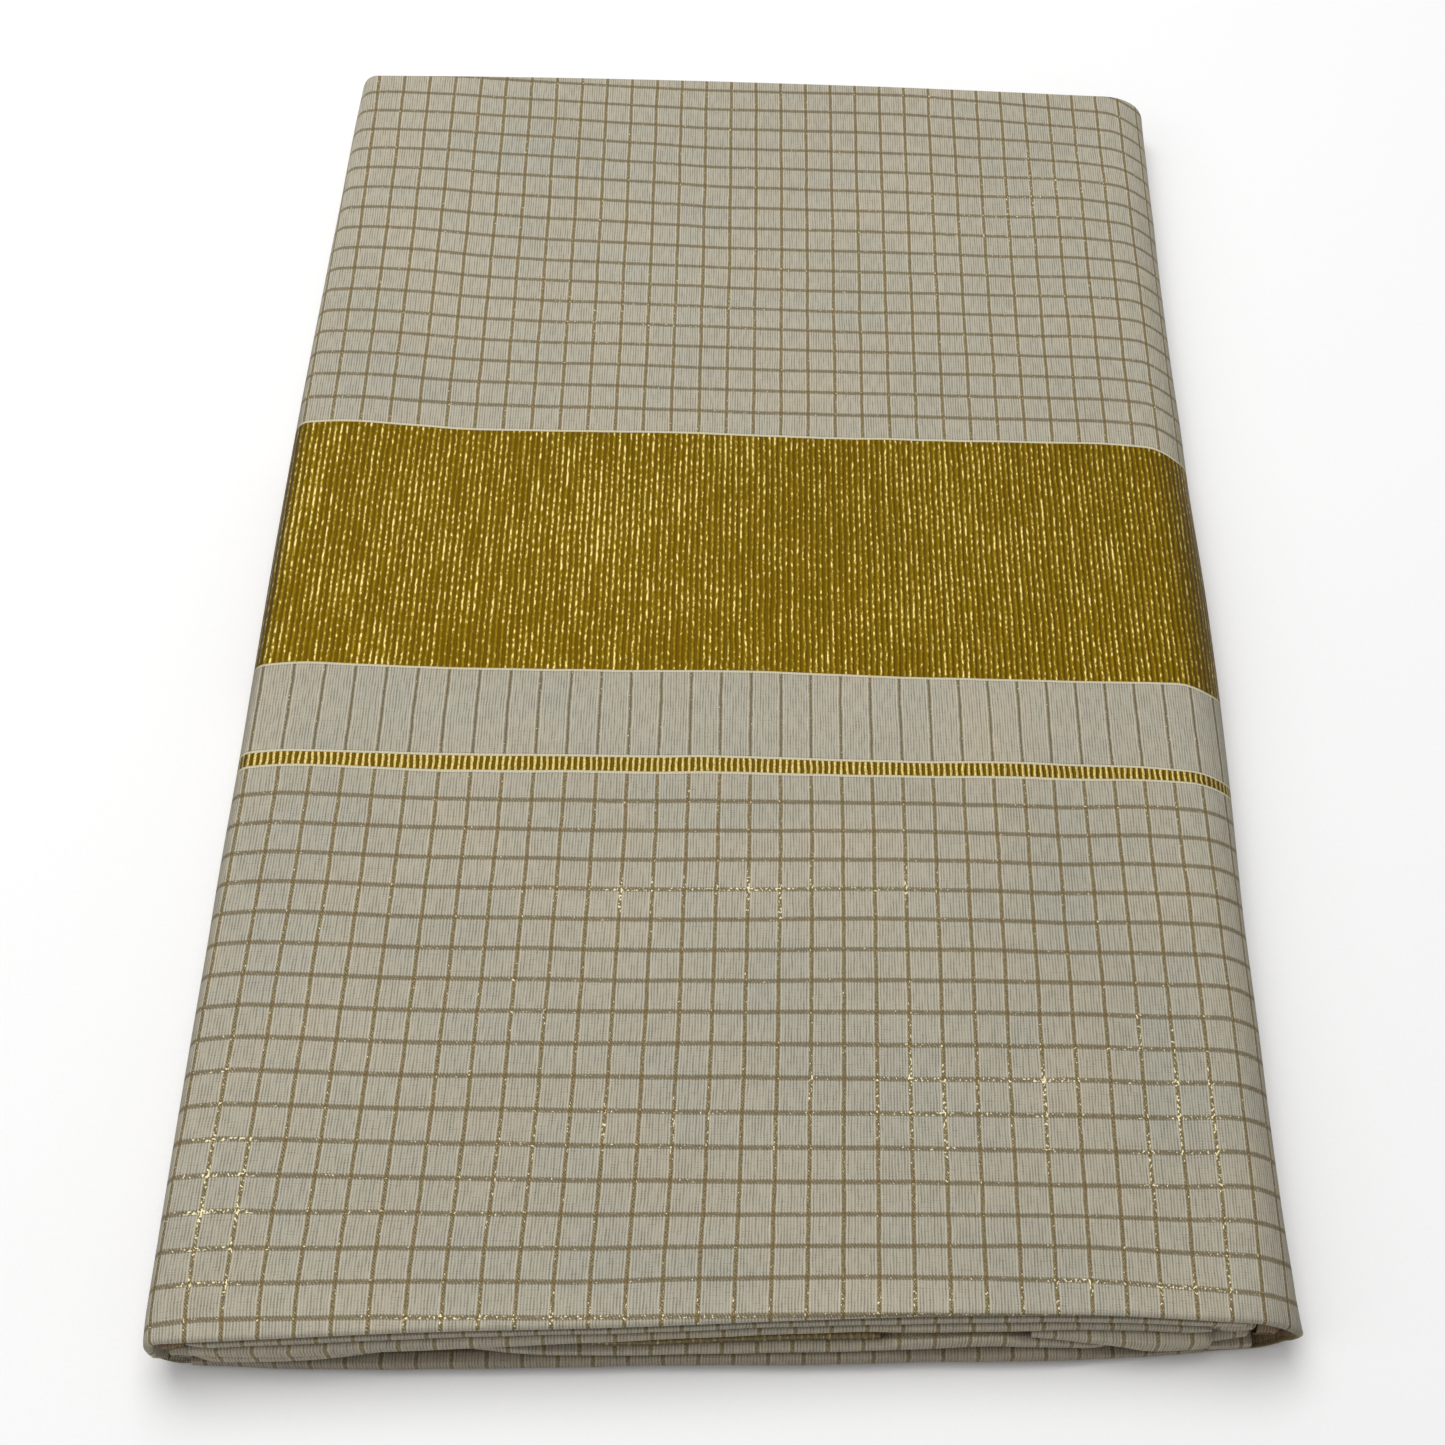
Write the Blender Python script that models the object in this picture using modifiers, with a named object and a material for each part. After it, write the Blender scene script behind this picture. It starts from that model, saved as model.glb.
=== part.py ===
"""A handloom saree folded into a flat pack: off-white cotton with a fine gold check.

The cloth was folded along its length many times, and the stack was then wrapped in its
own outer stretch. So the outer cloth goes over the top, rolls down both long sides and
comes back under the pack. The folds inside show at the near end and at the far end.

Frame: metres, +Z up, +X across the pack (along the weft), +Y from the near end to the
far end (along the warp). The origin is under the middle of the pack, on the surface
that it lies on.
"""

from collections import namedtuple

import bpy
import numpy as np

MM = 0.001

# Driving sizes. The outline tables run a little to the right of the pack's middle and
# behind it, by MIDDLE_X and MIDDLE_Y.
WALL = 1.2 * MM
CURL_WALL = 2.0 * MM
SEAM = 0.3 * MM
PACK_HEIGHT = 22.5 * MM
HALF_LENGTH = 242 * MM
MIDDLE_X = 0.7 * MM
MIDDLE_Y = 0.6 * MM
HEM_THICKNESS = 2 * WALL + SEAM
HEM_DEPTH = 30 * MM
FOLD_DEPTH = 29 * MM
STACK_START = 34 * MM
STACK_GAP = 0.7 * MM
CROWN = 0.8 * MM
NEAR_DROOP = 1.0 * MM
FAR_DROOP = 0.5 * MM
DROOP_REACH = 0.13
SWELL = 0.35 * MM
SWELLS_ALONG = 2.3
SWELLS_ACROSS = 0.8

# Side rolls: how far in the roll reaches on the top and on the floor, and how high its
# widest point is. The right one is the softer of the two.
Roll = namedtuple("Roll", "reach_top reach_floor widest")
LEFT_ROLL = Roll(reach_top=6 * MM, reach_floor=9 * MM, widest=14.5 * MM)
RIGHT_ROLL = Roll(reach_top=16 * MM, reach_floor=13 * MM, widest=10.5 * MM)
SEAM_HEIGHT_LEFT = 7.0 * MM
SEAM_HEIGHT_RIGHT = 6.5 * MM
SIDE_SEAM = 0.6 * MM

# Plan outline in millimetres: the long sides, by place along the pack
Side = namedtuple("Side", "place left right")
SIDES = (
    Side(-248, -152.6, 152.6),
    Side(-231, -153.7, 151.9),
    Side(-146, -153.9, 152.0),
    Side(-60, -153.8, 153.7),
    Side(0, -153.6, 154.6),
    Side(60, -153.1, 153.6),
    Side(150, -151.3, 153.8),
    Side(215, -150.0, 155.0),
    Side(248, -148.9, 155.4),
)

# Plan outline in millimetres: the short ends, by place across the pack
End = namedtuple("End", "place near far")
ENDS = (
    End(-154, -247.4, 247.6),
    End(-130, -245.9, 248.0),
    End(-80, -242.8, 248.3),
    End(-30, -240.7, 247.9),
    End(20, -237.9, 246.9),
    End(60, -236.1, 245.8),
    End(100, -235.4, 244.2),
    End(130, -236.4, 242.8),
    End(154, -237.2, 241.9),
)

# Near edge of the cloth underneath, in millimetres: how far it stands out past the top
Edge = namedtuple("Edge", "place proud")
UNDER_EDGE = (
    Edge(-154, -0.6),
    Edge(90, -0.6),
    Edge(112, 0.8),
    Edge(126, 2.8),
    Edge(136, 2.4),
    Edge(144, 0.7),
    Edge(154, -1.0),
)

# Folds that show at the ends, in millimetres. Each row is a place across the pack, with
# the fold's lower and upper face there and how far its nose stands out past the top.
Fold = namedtuple("Fold", "place low high proud")
NEAR_FOLDS = {
    "near_fold_upper": (
        Fold(-141.5, 15.4, 18.4, 0.3),
        Fold(-110, 15.7, 18.5, 0.7),
        Fold(-60, 15.8, 18.5, 0.5),
        Fold(0, 15.8, 18.5, 0.5),
        Fold(60, 15.7, 18.5, 0.8),
        Fold(110, 15.7, 18.5, 0.5),
        Fold(136.5, 15.6, 18.3, 0.0),
    ),
    "near_fold_middle": (
        Fold(-141.5, 10.3, 15.1, 0.8),
        Fold(-115, 10.5, 15.4, 2.4),
        Fold(-77, 10.6, 15.5, 2.2),
        Fold(-45, 12.4, 15.5, 1.9),
        Fold(3, 12.5, 15.5, 1.4),
        Fold(30, 12.5, 15.4, 1.5),
        Fold(56, 12.5, 15.4, 2.2),
        Fold(90, 12.5, 15.4, 1.8),
        Fold(125.5, 12.4, 15.3, 1.3),
    ),
    "near_fold_lower": (
        Fold(-141.5, 5.6, 10.0, 1.0),
        Fold(-115, 6.8, 10.2, 2.3),
        Fold(-77, 7.2, 10.3, 0.5),
        Fold(-54, 7.0, 10.4, 2.6),
        Fold(-44, 6.4, 9.2, 3.0),
        Fold(0, 6.3, 9.1, 4.1),
        Fold(40, 6.3, 9.1, 4.8),
        Fold(48, 6.3, 12.2, 4.9),
        Fold(72, 6.3, 12.2, 4.3),
        Fold(80, 6.2, 9.2, 4.3),
        Fold(88, 5.8, 8.6, 4.3),
        Fold(103, 4.6, 7.4, 4.3),
    ),
    "near_kasavu_layer": (
        Fold(-40, 9.5, 12.1, 1.6),
        Fold(-20, 9.4, 12.1, 1.9),
        Fold(3, 9.4, 12.2, 2.1),
        Fold(40.4, 9.4, 12.2, 2.6),
    ),
    "near_fold_right": (
        Fold(80.5, 9.5, 12.2, 2.8),
        Fold(88, 8.9, 12.2, 3.2),
        Fold(96, 8.3, 12.2, 4.0),
        Fold(104, 7.8, 12.2, 4.6),
        Fold(112, 4.6, 12.1, 4.6),
        Fold(125.5, 4.4, 12.0, 3.0),
    ),
    "near_fold_bottom": (
        Fold(-142.6, 1.5, 5.2, 0.5),
        Fold(-115, 1.5, 6.4, 2.8),
        Fold(-77, 1.5, 6.4, 4.6),
        Fold(-28, 1.5, 6.0, 5.0),
        Fold(40, 1.5, 6.0, 6.8),
        Fold(78, 1.5, 5.9, 6.8),
        Fold(104, 1.5, 4.2, 5.7),
        Fold(128, 1.5, 4.1, 2.7),
    ),
}
FAR_FOLDS = {
    "far_fold_upper": (
        Fold(-143, 15.9, 18.7, -0.4),
        Fold(-60, 15.7, 18.8, -0.2),
        Fold(30, 15.9, 18.8, -0.5),
        Fold(137, 15.7, 18.6, -0.8),
    ),
    "far_fold_middle": (
        Fold(-143, 12.1, 15.5, -0.7),
        Fold(-70, 11.6, 15.3, 0.1),
        Fold(20, 11.9, 15.6, -0.3),
        Fold(139, 12.3, 15.3, -1.1),
    ),
    "far_fold_lower": (
        Fold(-143, 6.9, 11.7, -0.9),
        Fold(-80, 6.3, 11.2, 0.5),
        Fold(10, 6.9, 11.5, 0.1),
        Fold(139, 7.2, 11.9, -1.3),
    ),
    "far_fold_bottom": (
        Fold(-139, 1.5, 6.5, -0.8),
        Fold(-70, 1.5, 5.9, 0.6),
        Fold(20, 1.5, 6.4, 0.8),
        Fold(134, 1.5, 6.7, -1.0),
    ),
}

# Ends of inner layers that turn back beside the folds, in millimetres: the nose across
# the pack, where the legs end, the lower and upper face, and the start behind the edge
Curl = namedtuple("Curl", "nose legs low high start")
CURLS = {
    "near_curl_left": Curl(nose=-148.7, legs=-143.3, low=1.7, high=9.6, start=0.6),
    "near_curl_right_upper": Curl(nose=140.6, legs=126.2, low=9.4, high=15.2, start=0.8),
    "near_curl_right_lower": Curl(nose=137.6, legs=128.6, low=1.7, high=9.1, start=1.6),
}

# How finely the surfaces are divided
ROLL_STEPS = 8
FLAT_STEPS = 12
LENGTH_STEPS = 20
NOSE_STEPS = 6
NEAR_SPACING = 8 * MM
FAR_SPACING = 16 * MM
CURL_STEPS = 3
SHARP_ANGLE = np.radians(50)
LAYERS = 6
LAYER_RIDGE = 0.8 * MM
RIDGE_STEPS = 3

# Places round the wrap: 0 to 1 crosses the top from left to right, 1 to 2 goes down the
# right roll, 2 to 3 crosses the floor from right to left, 3 to 4 climbs the left roll
TOP_RIGHT, FLOOR_RIGHT, FLOOR_LEFT, TOP_LEFT = 1.0, 2.0, 3.0, 4.0

CREAM = (0.62, 0.57, 0.47)
SHADED_CREAM = (0.36, 0.33, 0.27)
GOLD = (0.42, 0.30, 0.07)


def follow(table, column, place):
    """Read one column of a table as a smooth curve that never overshoots its rows: a
    cubic whose slope at a row is the harmonic mean of the slopes on its two sides."""
    places = np.array([row.place for row in table]) * MM
    values = np.array([getattr(row, column) for row in table]) * MM
    secants = np.diff(values) / np.diff(places)
    product = secants[:-1] * secants[1:]
    total = secants[:-1] + secants[1:]
    same_way = product > 0
    inner = np.where(same_way, 2 * product / np.where(same_way, total, 1), 0)
    slopes = np.concatenate([secants[:1], inner, secants[-1:]])
    place = np.asarray(place, float)
    first = np.clip(np.searchsorted(places, place) - 1, 0, len(places) - 2)
    span = places[first + 1] - places[first]
    t = np.clip((place - places[first]) / span, 0, 1)
    start = (1 + 2 * t) * (1 - t) ** 2 * values[first]
    start_slope = t * (1 - t) ** 2 * span * slopes[first]
    end = t * t * (3 - 2 * t) * values[first + 1]
    end_slope = t * t * (t - 1) * span * slopes[first + 1]
    return start + start_slope + end + end_slope


def ease(t):
    """Smooth step from 0 to 1."""
    t = np.clip(t, 0, 1)
    return t * t * (3 - 2 * t)


def top_height(across, share):
    """Height of the top face: a low crown and soft swells that fade at the edges, and
    ends that sink a little. across is -1 at the left side and 1 at the right one."""
    inside = (1 - across**2) * np.sin(np.pi * np.clip(share, 0, 1))
    swells = np.sin(2 * np.pi * (SWELLS_ALONG * share + SWELLS_ACROSS * across))
    near = NEAR_DROOP * (1 - ease(share / DROOP_REACH))
    far = FAR_DROOP * (1 - ease((1 - share) / DROOP_REACH))
    return PACK_HEIGHT + inside * (CROWN + SWELL * swells) - near - far


def roll_section(roll, edge, outward, turn, top):
    """Point and outward normal on a side roll. turn runs from 0 on the floor to 1 on the
    top. Two quarters of an ellipse meet at the widest point of the roll."""
    angle = (turn - 0.5) * np.pi
    upper = angle > 0
    reach = np.where(upper, roll.reach_top, roll.reach_floor)
    rise = np.where(upper, top - roll.widest, roll.widest)
    x = edge - outward * reach * (1 - np.cos(angle))
    z = roll.widest + rise * np.sin(angle)
    normal_x = outward * np.cos(angle) / reach
    normal_z = np.sin(angle) / rise
    size = np.hypot(normal_x, normal_z)
    return x, z, normal_x / size, normal_z / size


def wrap(ring, share, inset, depth):
    """Points of the outer cloth. ring is the place round the section, share the part of
    the way from the near end to the far end, inset the distance in from the nearer end
    and depth the distance in from the outer face."""
    ring, share, inset, depth = np.broadcast_arrays(ring, share, inset, depth)
    nominal = (2 * share - 1) * HALF_LENGTH
    left = follow(SIDES, "left", nominal)
    right = follow(SIDES, "right", nominal)
    edge_top = top_height(1.0, share)
    lx, lz, lnx, lnz = roll_section(LEFT_ROLL, left, -1, ring - 3, edge_top)
    rx, rz, rnx, rnz = roll_section(RIGHT_ROLL, right, 1, 2 - ring, edge_top)
    on_top = ring <= TOP_RIGHT
    on_right = (ring > TOP_RIGHT) & (ring < FLOOR_RIGHT)
    on_floor = (ring >= FLOOR_RIGHT) & (ring <= FLOOR_LEFT)
    top_from, top_to = left + LEFT_ROLL.reach_top, right - RIGHT_ROLL.reach_top
    floor_from, floor_to = right - RIGHT_ROLL.reach_floor, left + LEFT_ROLL.reach_floor
    top_x = top_from + (top_to - top_from) * ring
    floor_x = floor_from + (floor_to - floor_from) * (ring - FLOOR_RIGHT)
    top_z = top_height(2 * ring - 1, share)
    places = [on_top, on_right, on_floor]
    x = np.select(places, [top_x, rx, floor_x], lx)
    z = np.select(places, [top_z, rz, np.zeros_like(lz)], lz)
    normal_x = np.select(places, [np.zeros_like(rnx), rnx, np.zeros_like(rnx)], lnx)
    normal_z = np.select(places, [np.ones_like(rnz), rnz, -np.ones_like(rnz)], lnz)
    x = x - normal_x * depth
    z = z - normal_z * depth
    near = follow(ENDS, "near", x)
    far = follow(ENDS, "far", x)
    y = near + share * (far - near) + np.where(share < 0.5, inset, -inset)
    return np.stack([x, y, z], axis=-1)


def ring_at_height(roll, height):
    """How far up a roll, from 0 on the floor to 1 on the top, a height lies."""
    return 0.5 + np.arcsin((height - roll.widest) / roll.widest) / np.pi


def hem_path(steps):
    """Turned edge of the top cloth as inset and depth, from the end of the part that is
    turned under, round the fold, to the outer face."""
    radius = HEM_THICKNESS / 2
    angle = np.linspace(-np.pi / 2, np.pi / 2, steps + 1)
    fold_inset = radius * (1 - np.cos(angle))
    fold_depth = radius * (1 - np.sin(angle))
    inset = np.concatenate([[HEM_DEPTH, HEM_DEPTH / 2], fold_inset])
    depth = np.concatenate([[HEM_THICKNESS, HEM_THICKNESS], fold_depth])
    return inset, depth


def sheet_mesh(name, points):
    """Mesh of one sheet from a grid of points, rows by columns. Its faces look to the
    side from which the rows run away and the columns run to the left."""
    rows, columns = points.shape[:2]
    index = np.arange(rows * columns).reshape(rows, columns)
    corners = (index[:-1, :-1], index[1:, :-1], index[1:, 1:], index[:-1, 1:])
    faces = np.stack(corners, axis=-1).reshape(-1, 4)
    mesh = bpy.data.meshes.new(name)
    mesh.from_pydata(points.reshape(-1, 3).tolist(), [], faces.tolist())
    mesh.validate()
    return mesh


def material(name, colour, roughness, metallic):
    made = bpy.data.materials.new(name)
    made.use_nodes = True
    shader = made.node_tree.nodes["Principled BSDF"]
    shader.inputs["Base Color"].default_value = (*colour, 1)
    shader.inputs["Roughness"].default_value = roughness
    shader.inputs["Metallic"].default_value = metallic
    return made


def add_object(name, mesh, finish, collection):
    mesh.materials.append(finish)
    mesh.shade_smooth()
    mesh.set_sharp_from_angle(angle=SHARP_ANGLE)
    made = bpy.data.objects.new(name, mesh)
    collection.objects.link(made)
    return made


def centred(points):
    """Move points of the outline tables so that the origin is under the pack's middle."""
    return points - np.array([MIDDLE_X, MIDDLE_Y, 0])


def add_cloth(name, points, thickness, finish, collection):
    """One stretch of cloth: the outer face as a sheet, thickened inwards to a wall."""
    made = add_object(name, sheet_mesh(name, centred(points)), finish, collection)
    wall = made.modifiers.new("cloth thickness", "SOLIDIFY")
    wall.thickness = thickness
    wall.offset = -1
    wall.use_even_offset = True
    wall.use_rim = True
    return made


def top_stretch(finish, collection):
    """The outer cloth over the top and down both rolls, its two ends turned under."""
    left_seam = FLOOR_LEFT + ring_at_height(LEFT_ROLL, SEAM_HEIGHT_LEFT)
    right_seam = FLOOR_RIGHT - ring_at_height(RIGHT_ROLL, SEAM_HEIGHT_RIGHT)
    left = np.linspace(left_seam, TOP_LEFT, ROLL_STEPS)[:-1]
    flat = np.linspace(0, TOP_RIGHT, FLAT_STEPS + 1)
    right = np.linspace(TOP_RIGHT, right_seam, ROLL_STEPS)[1:]
    ring = np.concatenate([left, flat, right])
    inset, depth = hem_path(NOSE_STEPS)
    length = np.linspace(0, 1, LENGTH_STEPS + 1)[1:-1]
    share = np.concatenate([np.zeros_like(inset), length, np.ones_like(inset)])
    inset_all = np.concatenate([inset, np.zeros_like(length), inset[::-1]])
    depth_all = np.concatenate([depth, np.zeros_like(length), depth[::-1]])
    points = wrap(ring[:, None], share, inset_all, depth_all)
    return add_cloth("top_stretch", points, WALL, finish, collection)


def underside_stretch(finish, collection):
    """The outer cloth under the pack, flat on the floor, with both sides rolled up to
    the seams. Its ends stay just behind the lowest fold."""
    left_seam = FLOOR_LEFT + ring_at_height(LEFT_ROLL, SEAM_HEIGHT_LEFT - SIDE_SEAM)
    right_seam = FLOOR_RIGHT - ring_at_height(RIGHT_ROLL, SEAM_HEIGHT_RIGHT - SIDE_SEAM)
    right = np.linspace(right_seam, FLOOR_RIGHT, ROLL_STEPS - 2)[:-1]
    flat = np.linspace(FLOOR_RIGHT, FLOOR_LEFT, FLAT_STEPS // 2 + 1)
    left = np.linspace(FLOOR_LEFT, left_seam, ROLL_STEPS - 2)[1:]
    ring = np.concatenate([right, flat, left])
    share = np.linspace(0, 1, LENGTH_STEPS + 1)
    inset = np.zeros_like(share)
    inset[-1] = WALL / 2
    points = wrap(ring[:, None], share, inset, 0.0)
    points[:, 0, 1] -= follow(UNDER_EDGE, "proud", points[:, 0, 0])
    return add_cloth("underside_stretch", points, WALL, finish, collection)


def fold_points(table, end_column, outward, spacing):
    """A layer that comes out of the stack, turns round and goes back in: two legs and a
    half-round nose. outward is -1 at the near end and 1 at the far end. The sections of
    neighbouring folds lie at the same places, multiples of the spacing."""
    start, stop = table[0].place * MM, table[-1].place * MM
    first, last = int(start / spacing), int(stop / spacing)
    shared = np.arange(first, last + 1) * spacing
    clear = (shared > start + spacing / 4) & (shared < stop - spacing / 4)
    x = np.concatenate([[start], shared[clear], [stop]])
    low, high = follow(table, "low", x), follow(table, "high", x)
    end = follow(ENDS, end_column, x)
    front = end + outward * follow(table, "proud", x)
    back = end - outward * FOLD_DEPTH
    radius = (high - low) / 2
    angle = np.linspace(np.pi / 2, -np.pi / 2, NOSE_STEPS + 1)
    nose_y = (front - outward * radius)[:, None] + outward * radius[:, None] * np.cos(angle)
    nose_z = (low + radius)[:, None] + radius[:, None] * np.sin(angle)
    y = np.concatenate([back[:, None], nose_y, back[:, None]], axis=1)
    z = np.concatenate([high[:, None], nose_z, low[:, None]], axis=1)
    points = np.stack([np.broadcast_to(x[:, None], y.shape), y, z], axis=-1)
    return points[::-1] if outward < 0 else points


def curl_points(curl):
    """An inner layer that turns back sideways: the same form as a fold, with its nose
    across the pack and its length along it."""
    outward = np.sign(curl.nose)
    low, high, nose, legs = (v * MM for v in (curl.low, curl.high, curl.nose, curl.legs))
    radius = (high - low) / 2
    angle = np.linspace(np.pi / 2, -np.pi / 2, NOSE_STEPS + 1)
    nose_x = nose - outward * radius + outward * radius * np.cos(angle)
    x = np.concatenate([[legs], nose_x, [legs]])
    z = np.concatenate([[high], low + radius + radius * np.sin(angle), [low]])
    near = follow(ENDS, "near", x)
    along = np.linspace(curl.start * MM, FOLD_DEPTH, CURL_STEPS + 1)[:, None]
    y = near + along
    shape = y.shape
    points = np.stack([np.broadcast_to(x, shape), y, np.broadcast_to(z, shape)], axis=-1)
    return points if outward < 0 else points[::-1]


def hidden_layers(finish, collection):
    """The layers inside as one rounded solid. The long sides show the edge of each layer
    as a ridge, and the two ends are rounded over."""
    climb = np.linspace(0, 1, LAYERS * RIDGE_STEPS + 1)
    right = TOP_RIGHT + climb
    left = FLOOR_LEFT + climb
    top = np.linspace(0, TOP_RIGHT, FLAT_STEPS // 2 + 1)[1:-1]
    floor = np.linspace(FLOOR_RIGHT, FLOOR_LEFT, FLAT_STEPS // 2 + 1)[1:-1]
    ring = np.concatenate([top, right, floor, left])
    side = np.concatenate([0 * top, climb, 0 * floor, climb])
    ridge = LAYER_RIDGE * np.abs(np.sin(np.pi * LAYERS * side))
    share = np.linspace(0, 1, LENGTH_STEPS // 2 + 1)
    share = np.concatenate([[0], share, [1]])
    inset = np.zeros_like(share)
    inset[[0, -1]] = STACK_START
    inset[[1, -2]] = STACK_START + WALL
    rounding = np.zeros_like(share)
    rounding[[0, -1]] = WALL
    depth = WALL + STACK_GAP + ridge + rounding[:, None]
    points = centred(wrap(ring, share[:, None], inset[:, None], depth))
    rows, columns = points.shape[:2]
    index = np.arange(rows * columns).reshape(rows, columns)
    after = np.roll(index, -1, axis=1)
    corners = (index[:-1], after[:-1], after[1:], index[1:])
    faces = np.stack(corners, axis=-1).reshape(-1, 4).tolist()
    faces += [index[0][::-1].tolist(), index[-1].tolist()]
    mesh = bpy.data.meshes.new("hidden_layers")
    mesh.from_pydata(points.reshape(-1, 3).tolist(), [], faces)
    mesh.validate()
    return add_object("hidden_layers", mesh, finish, collection)


def build():
    for leftover in list(bpy.data.objects):
        bpy.data.objects.remove(leftover)
    collection = bpy.data.collections.new("folded_saree")
    bpy.context.scene.collection.children.link(collection)
    cream = material("cream_check_cotton", CREAM, 0.85, 0.0)
    shaded = material("inner_cotton", SHADED_CREAM, 0.9, 0.0)
    gold = material("gold_kasavu", GOLD, 0.45, 0.6)
    top_stretch(cream, collection)
    underside_stretch(cream, collection)
    hidden_layers(shaded, collection)
    for name, table in NEAR_FOLDS.items():
        finish = gold if name == "near_kasavu_layer" else cream
        points = fold_points(table, "near", -1, NEAR_SPACING)
        add_cloth(name, points, WALL, finish, collection)
    for name, table in FAR_FOLDS.items():
        points = fold_points(table, "far", 1, FAR_SPACING)
        add_cloth(name, points, WALL, cream, collection)
    for name, curl in CURLS.items():
        add_cloth(name, curl_points(curl), CURL_WALL, shaded, collection)


build()
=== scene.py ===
# %% [markdown]
# # A folded handloom saree
# A saree is one long length of cloth with nothing sewn on. This one is off-white cotton
# with a fine gold check, one wide gold band and one narrow gold stripe. It lies folded in
# a flat pack, wrapped in its own outer stretch, and the folds inside show at both ends.
# The frame holds the pack as plain solids. This lesson lays a thin cloth on each of them
# and weaves its pattern with shader nodes. All lengths are metres, with +Z up, +X across
# the pack and +Y from the near end to the far end.

# %% Load the frame
from collections import namedtuple
from functools import partialmethod

import bpy
import numpy as np
from mathutils import Matrix, Vector


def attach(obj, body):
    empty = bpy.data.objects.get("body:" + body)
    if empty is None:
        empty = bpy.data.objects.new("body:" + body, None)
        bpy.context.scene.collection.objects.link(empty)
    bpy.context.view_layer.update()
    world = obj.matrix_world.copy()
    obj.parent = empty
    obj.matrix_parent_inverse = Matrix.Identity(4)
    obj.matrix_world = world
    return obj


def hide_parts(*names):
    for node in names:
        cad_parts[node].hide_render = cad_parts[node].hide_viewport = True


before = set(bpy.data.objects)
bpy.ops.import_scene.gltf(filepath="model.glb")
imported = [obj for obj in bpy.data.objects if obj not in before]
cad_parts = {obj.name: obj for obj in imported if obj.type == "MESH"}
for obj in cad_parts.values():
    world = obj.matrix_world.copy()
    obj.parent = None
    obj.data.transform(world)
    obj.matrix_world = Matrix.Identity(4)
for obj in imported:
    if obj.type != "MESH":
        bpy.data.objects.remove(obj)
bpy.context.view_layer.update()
MM = 0.001
scene = bpy.context.scene


def chart(kind, *rows):
    """Plain rows with the column names of kind."""
    return tuple(kind(*row) for row in rows)


def add(name, data):
    """A new object in the scene."""
    made = bpy.data.objects.new(name, data)
    scene.collection.objects.link(made)
    return made


# %% [markdown]
# ## The camera
# The pack is seen from above its near end, at an angle of 56 degrees down, with a lens a
# little longer than normal. A camera could be turned with Euler angles. Here its three
# axes are worked out from the place that it looks at, because the small roll of the
# camera is then one plain number.

# %% Camera
CAMERA_AT = Vector((-3.80, -411.82, 564.93)) * MM
LOOKS_AT = Vector((-4.99, -52.80, 22.5)) * MM
ROLL_DEGREES = 0.79
FOCAL_PIXELS = 2100
IMAGE_PIXELS = 1445
SENSOR = 36
CLIP_START = 10 * MM

forward = (LOOKS_AT - CAMERA_AT).normalized()
level = forward.cross(Vector((0, 0, 1))).normalized()
roll = np.radians(ROLL_DEGREES)
right = level * np.cos(roll) + level.cross(forward) * np.sin(roll)
upward = right.cross(forward)
camera_data = bpy.data.cameras.new("camera")
camera_data.sensor_width = SENSOR
camera_data.lens = FOCAL_PIXELS / IMAGE_PIXELS * SENSOR
camera_data.clip_start = CLIP_START
camera = add("camera", camera_data)
turned = Matrix((right, upward, -forward)).transposed().to_4x4()
camera.matrix_world = Matrix.Translation(CAMERA_AT) @ turned
scene.camera = camera
print("lens", round(camera_data.lens, 2), "mm")

# %% [markdown]
# ## Smooth curves through short tables
# The outline of the pack and the lie of the threads were measured at a few places each.
# Straight lines between those places would show as kinks in the cloth. A spline could
# overshoot. A cubic whose slope at a row is the harmonic mean of the slopes beside it is
# smooth and never overshoots, so every table here is read with it.


# %% Reading a table
def smooth(knots, values, at):
    """Cubic through (knots, values), read at `at`. Rows run down the first axis, and the
    other axes match `at`, so each point may have knots of its own. The slope at an inner
    row is 2ab / (a + b) for the slopes a and b beside it, or 0 where they differ in
    sign. Past the ends the curve goes on straight."""
    at = np.asarray(at, float)
    knots, values = np.asarray(knots, float), np.asarray(values, float)
    shape = np.broadcast_shapes(knots.shape[1:], values.shape[1:], at.shape)

    def spread(table):
        filler = (1,) * (len(shape) - table.ndim + 1)
        table = table.reshape(table.shape[:1] + filler + table.shape[1:])
        return np.broadcast_to(table, table.shape[:1] + shape)

    knots, values, at = spread(knots), spread(values), np.broadcast_to(at, shape)
    steps = np.diff(knots, axis=0)
    rises = np.diff(values, axis=0) / steps
    before, after = rises[:-1], rises[1:]
    same_way = before * after > 0
    inner = np.where(same_way, 2 * before * after / np.where(same_way, before + after, 1), 0)
    slopes = np.concatenate([rises[:1], inner, rises[-1:]])
    row = np.clip((knots <= at).sum(axis=0) - 1, 0, len(knots) - 2)[None]

    def pick(table, offset=0):
        return np.take_along_axis(table, row + offset, axis=0)[0]

    step = pick(steps)
    inside = np.clip(at, knots[0], knots[-1])
    t = (inside - pick(knots)) / step
    curve = (1 + 2 * t) * (1 - t) ** 2 * pick(values) + t * t * (3 - 2 * t) * pick(values, 1)
    curve += t * (1 - t) ** 2 * step * pick(slopes) + t * t * (t - 1) * step * pick(slopes, 1)
    past = at - inside
    return curve + past * np.where(past < 0, slopes[0], slopes[-1])


def ease(t):
    """Smooth step from 0 to 1."""
    t = np.clip(t, 0, 1)
    return t * t * (3 - 2 * t)


# %% [markdown]
# ## The outline of the pack
# The outer cloth goes over the top, rolls down both long sides and comes back under the
# pack. Its form is the same one that the solids have: an outline in plan, a top that is
# slightly crowned, and side rolls of two quarter ellipses that meet at the widest place.
# It could be modelled by pushing vertices about. As a formula it stays exact, and the
# threads can be laid on it later by the length of the cloth.

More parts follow.
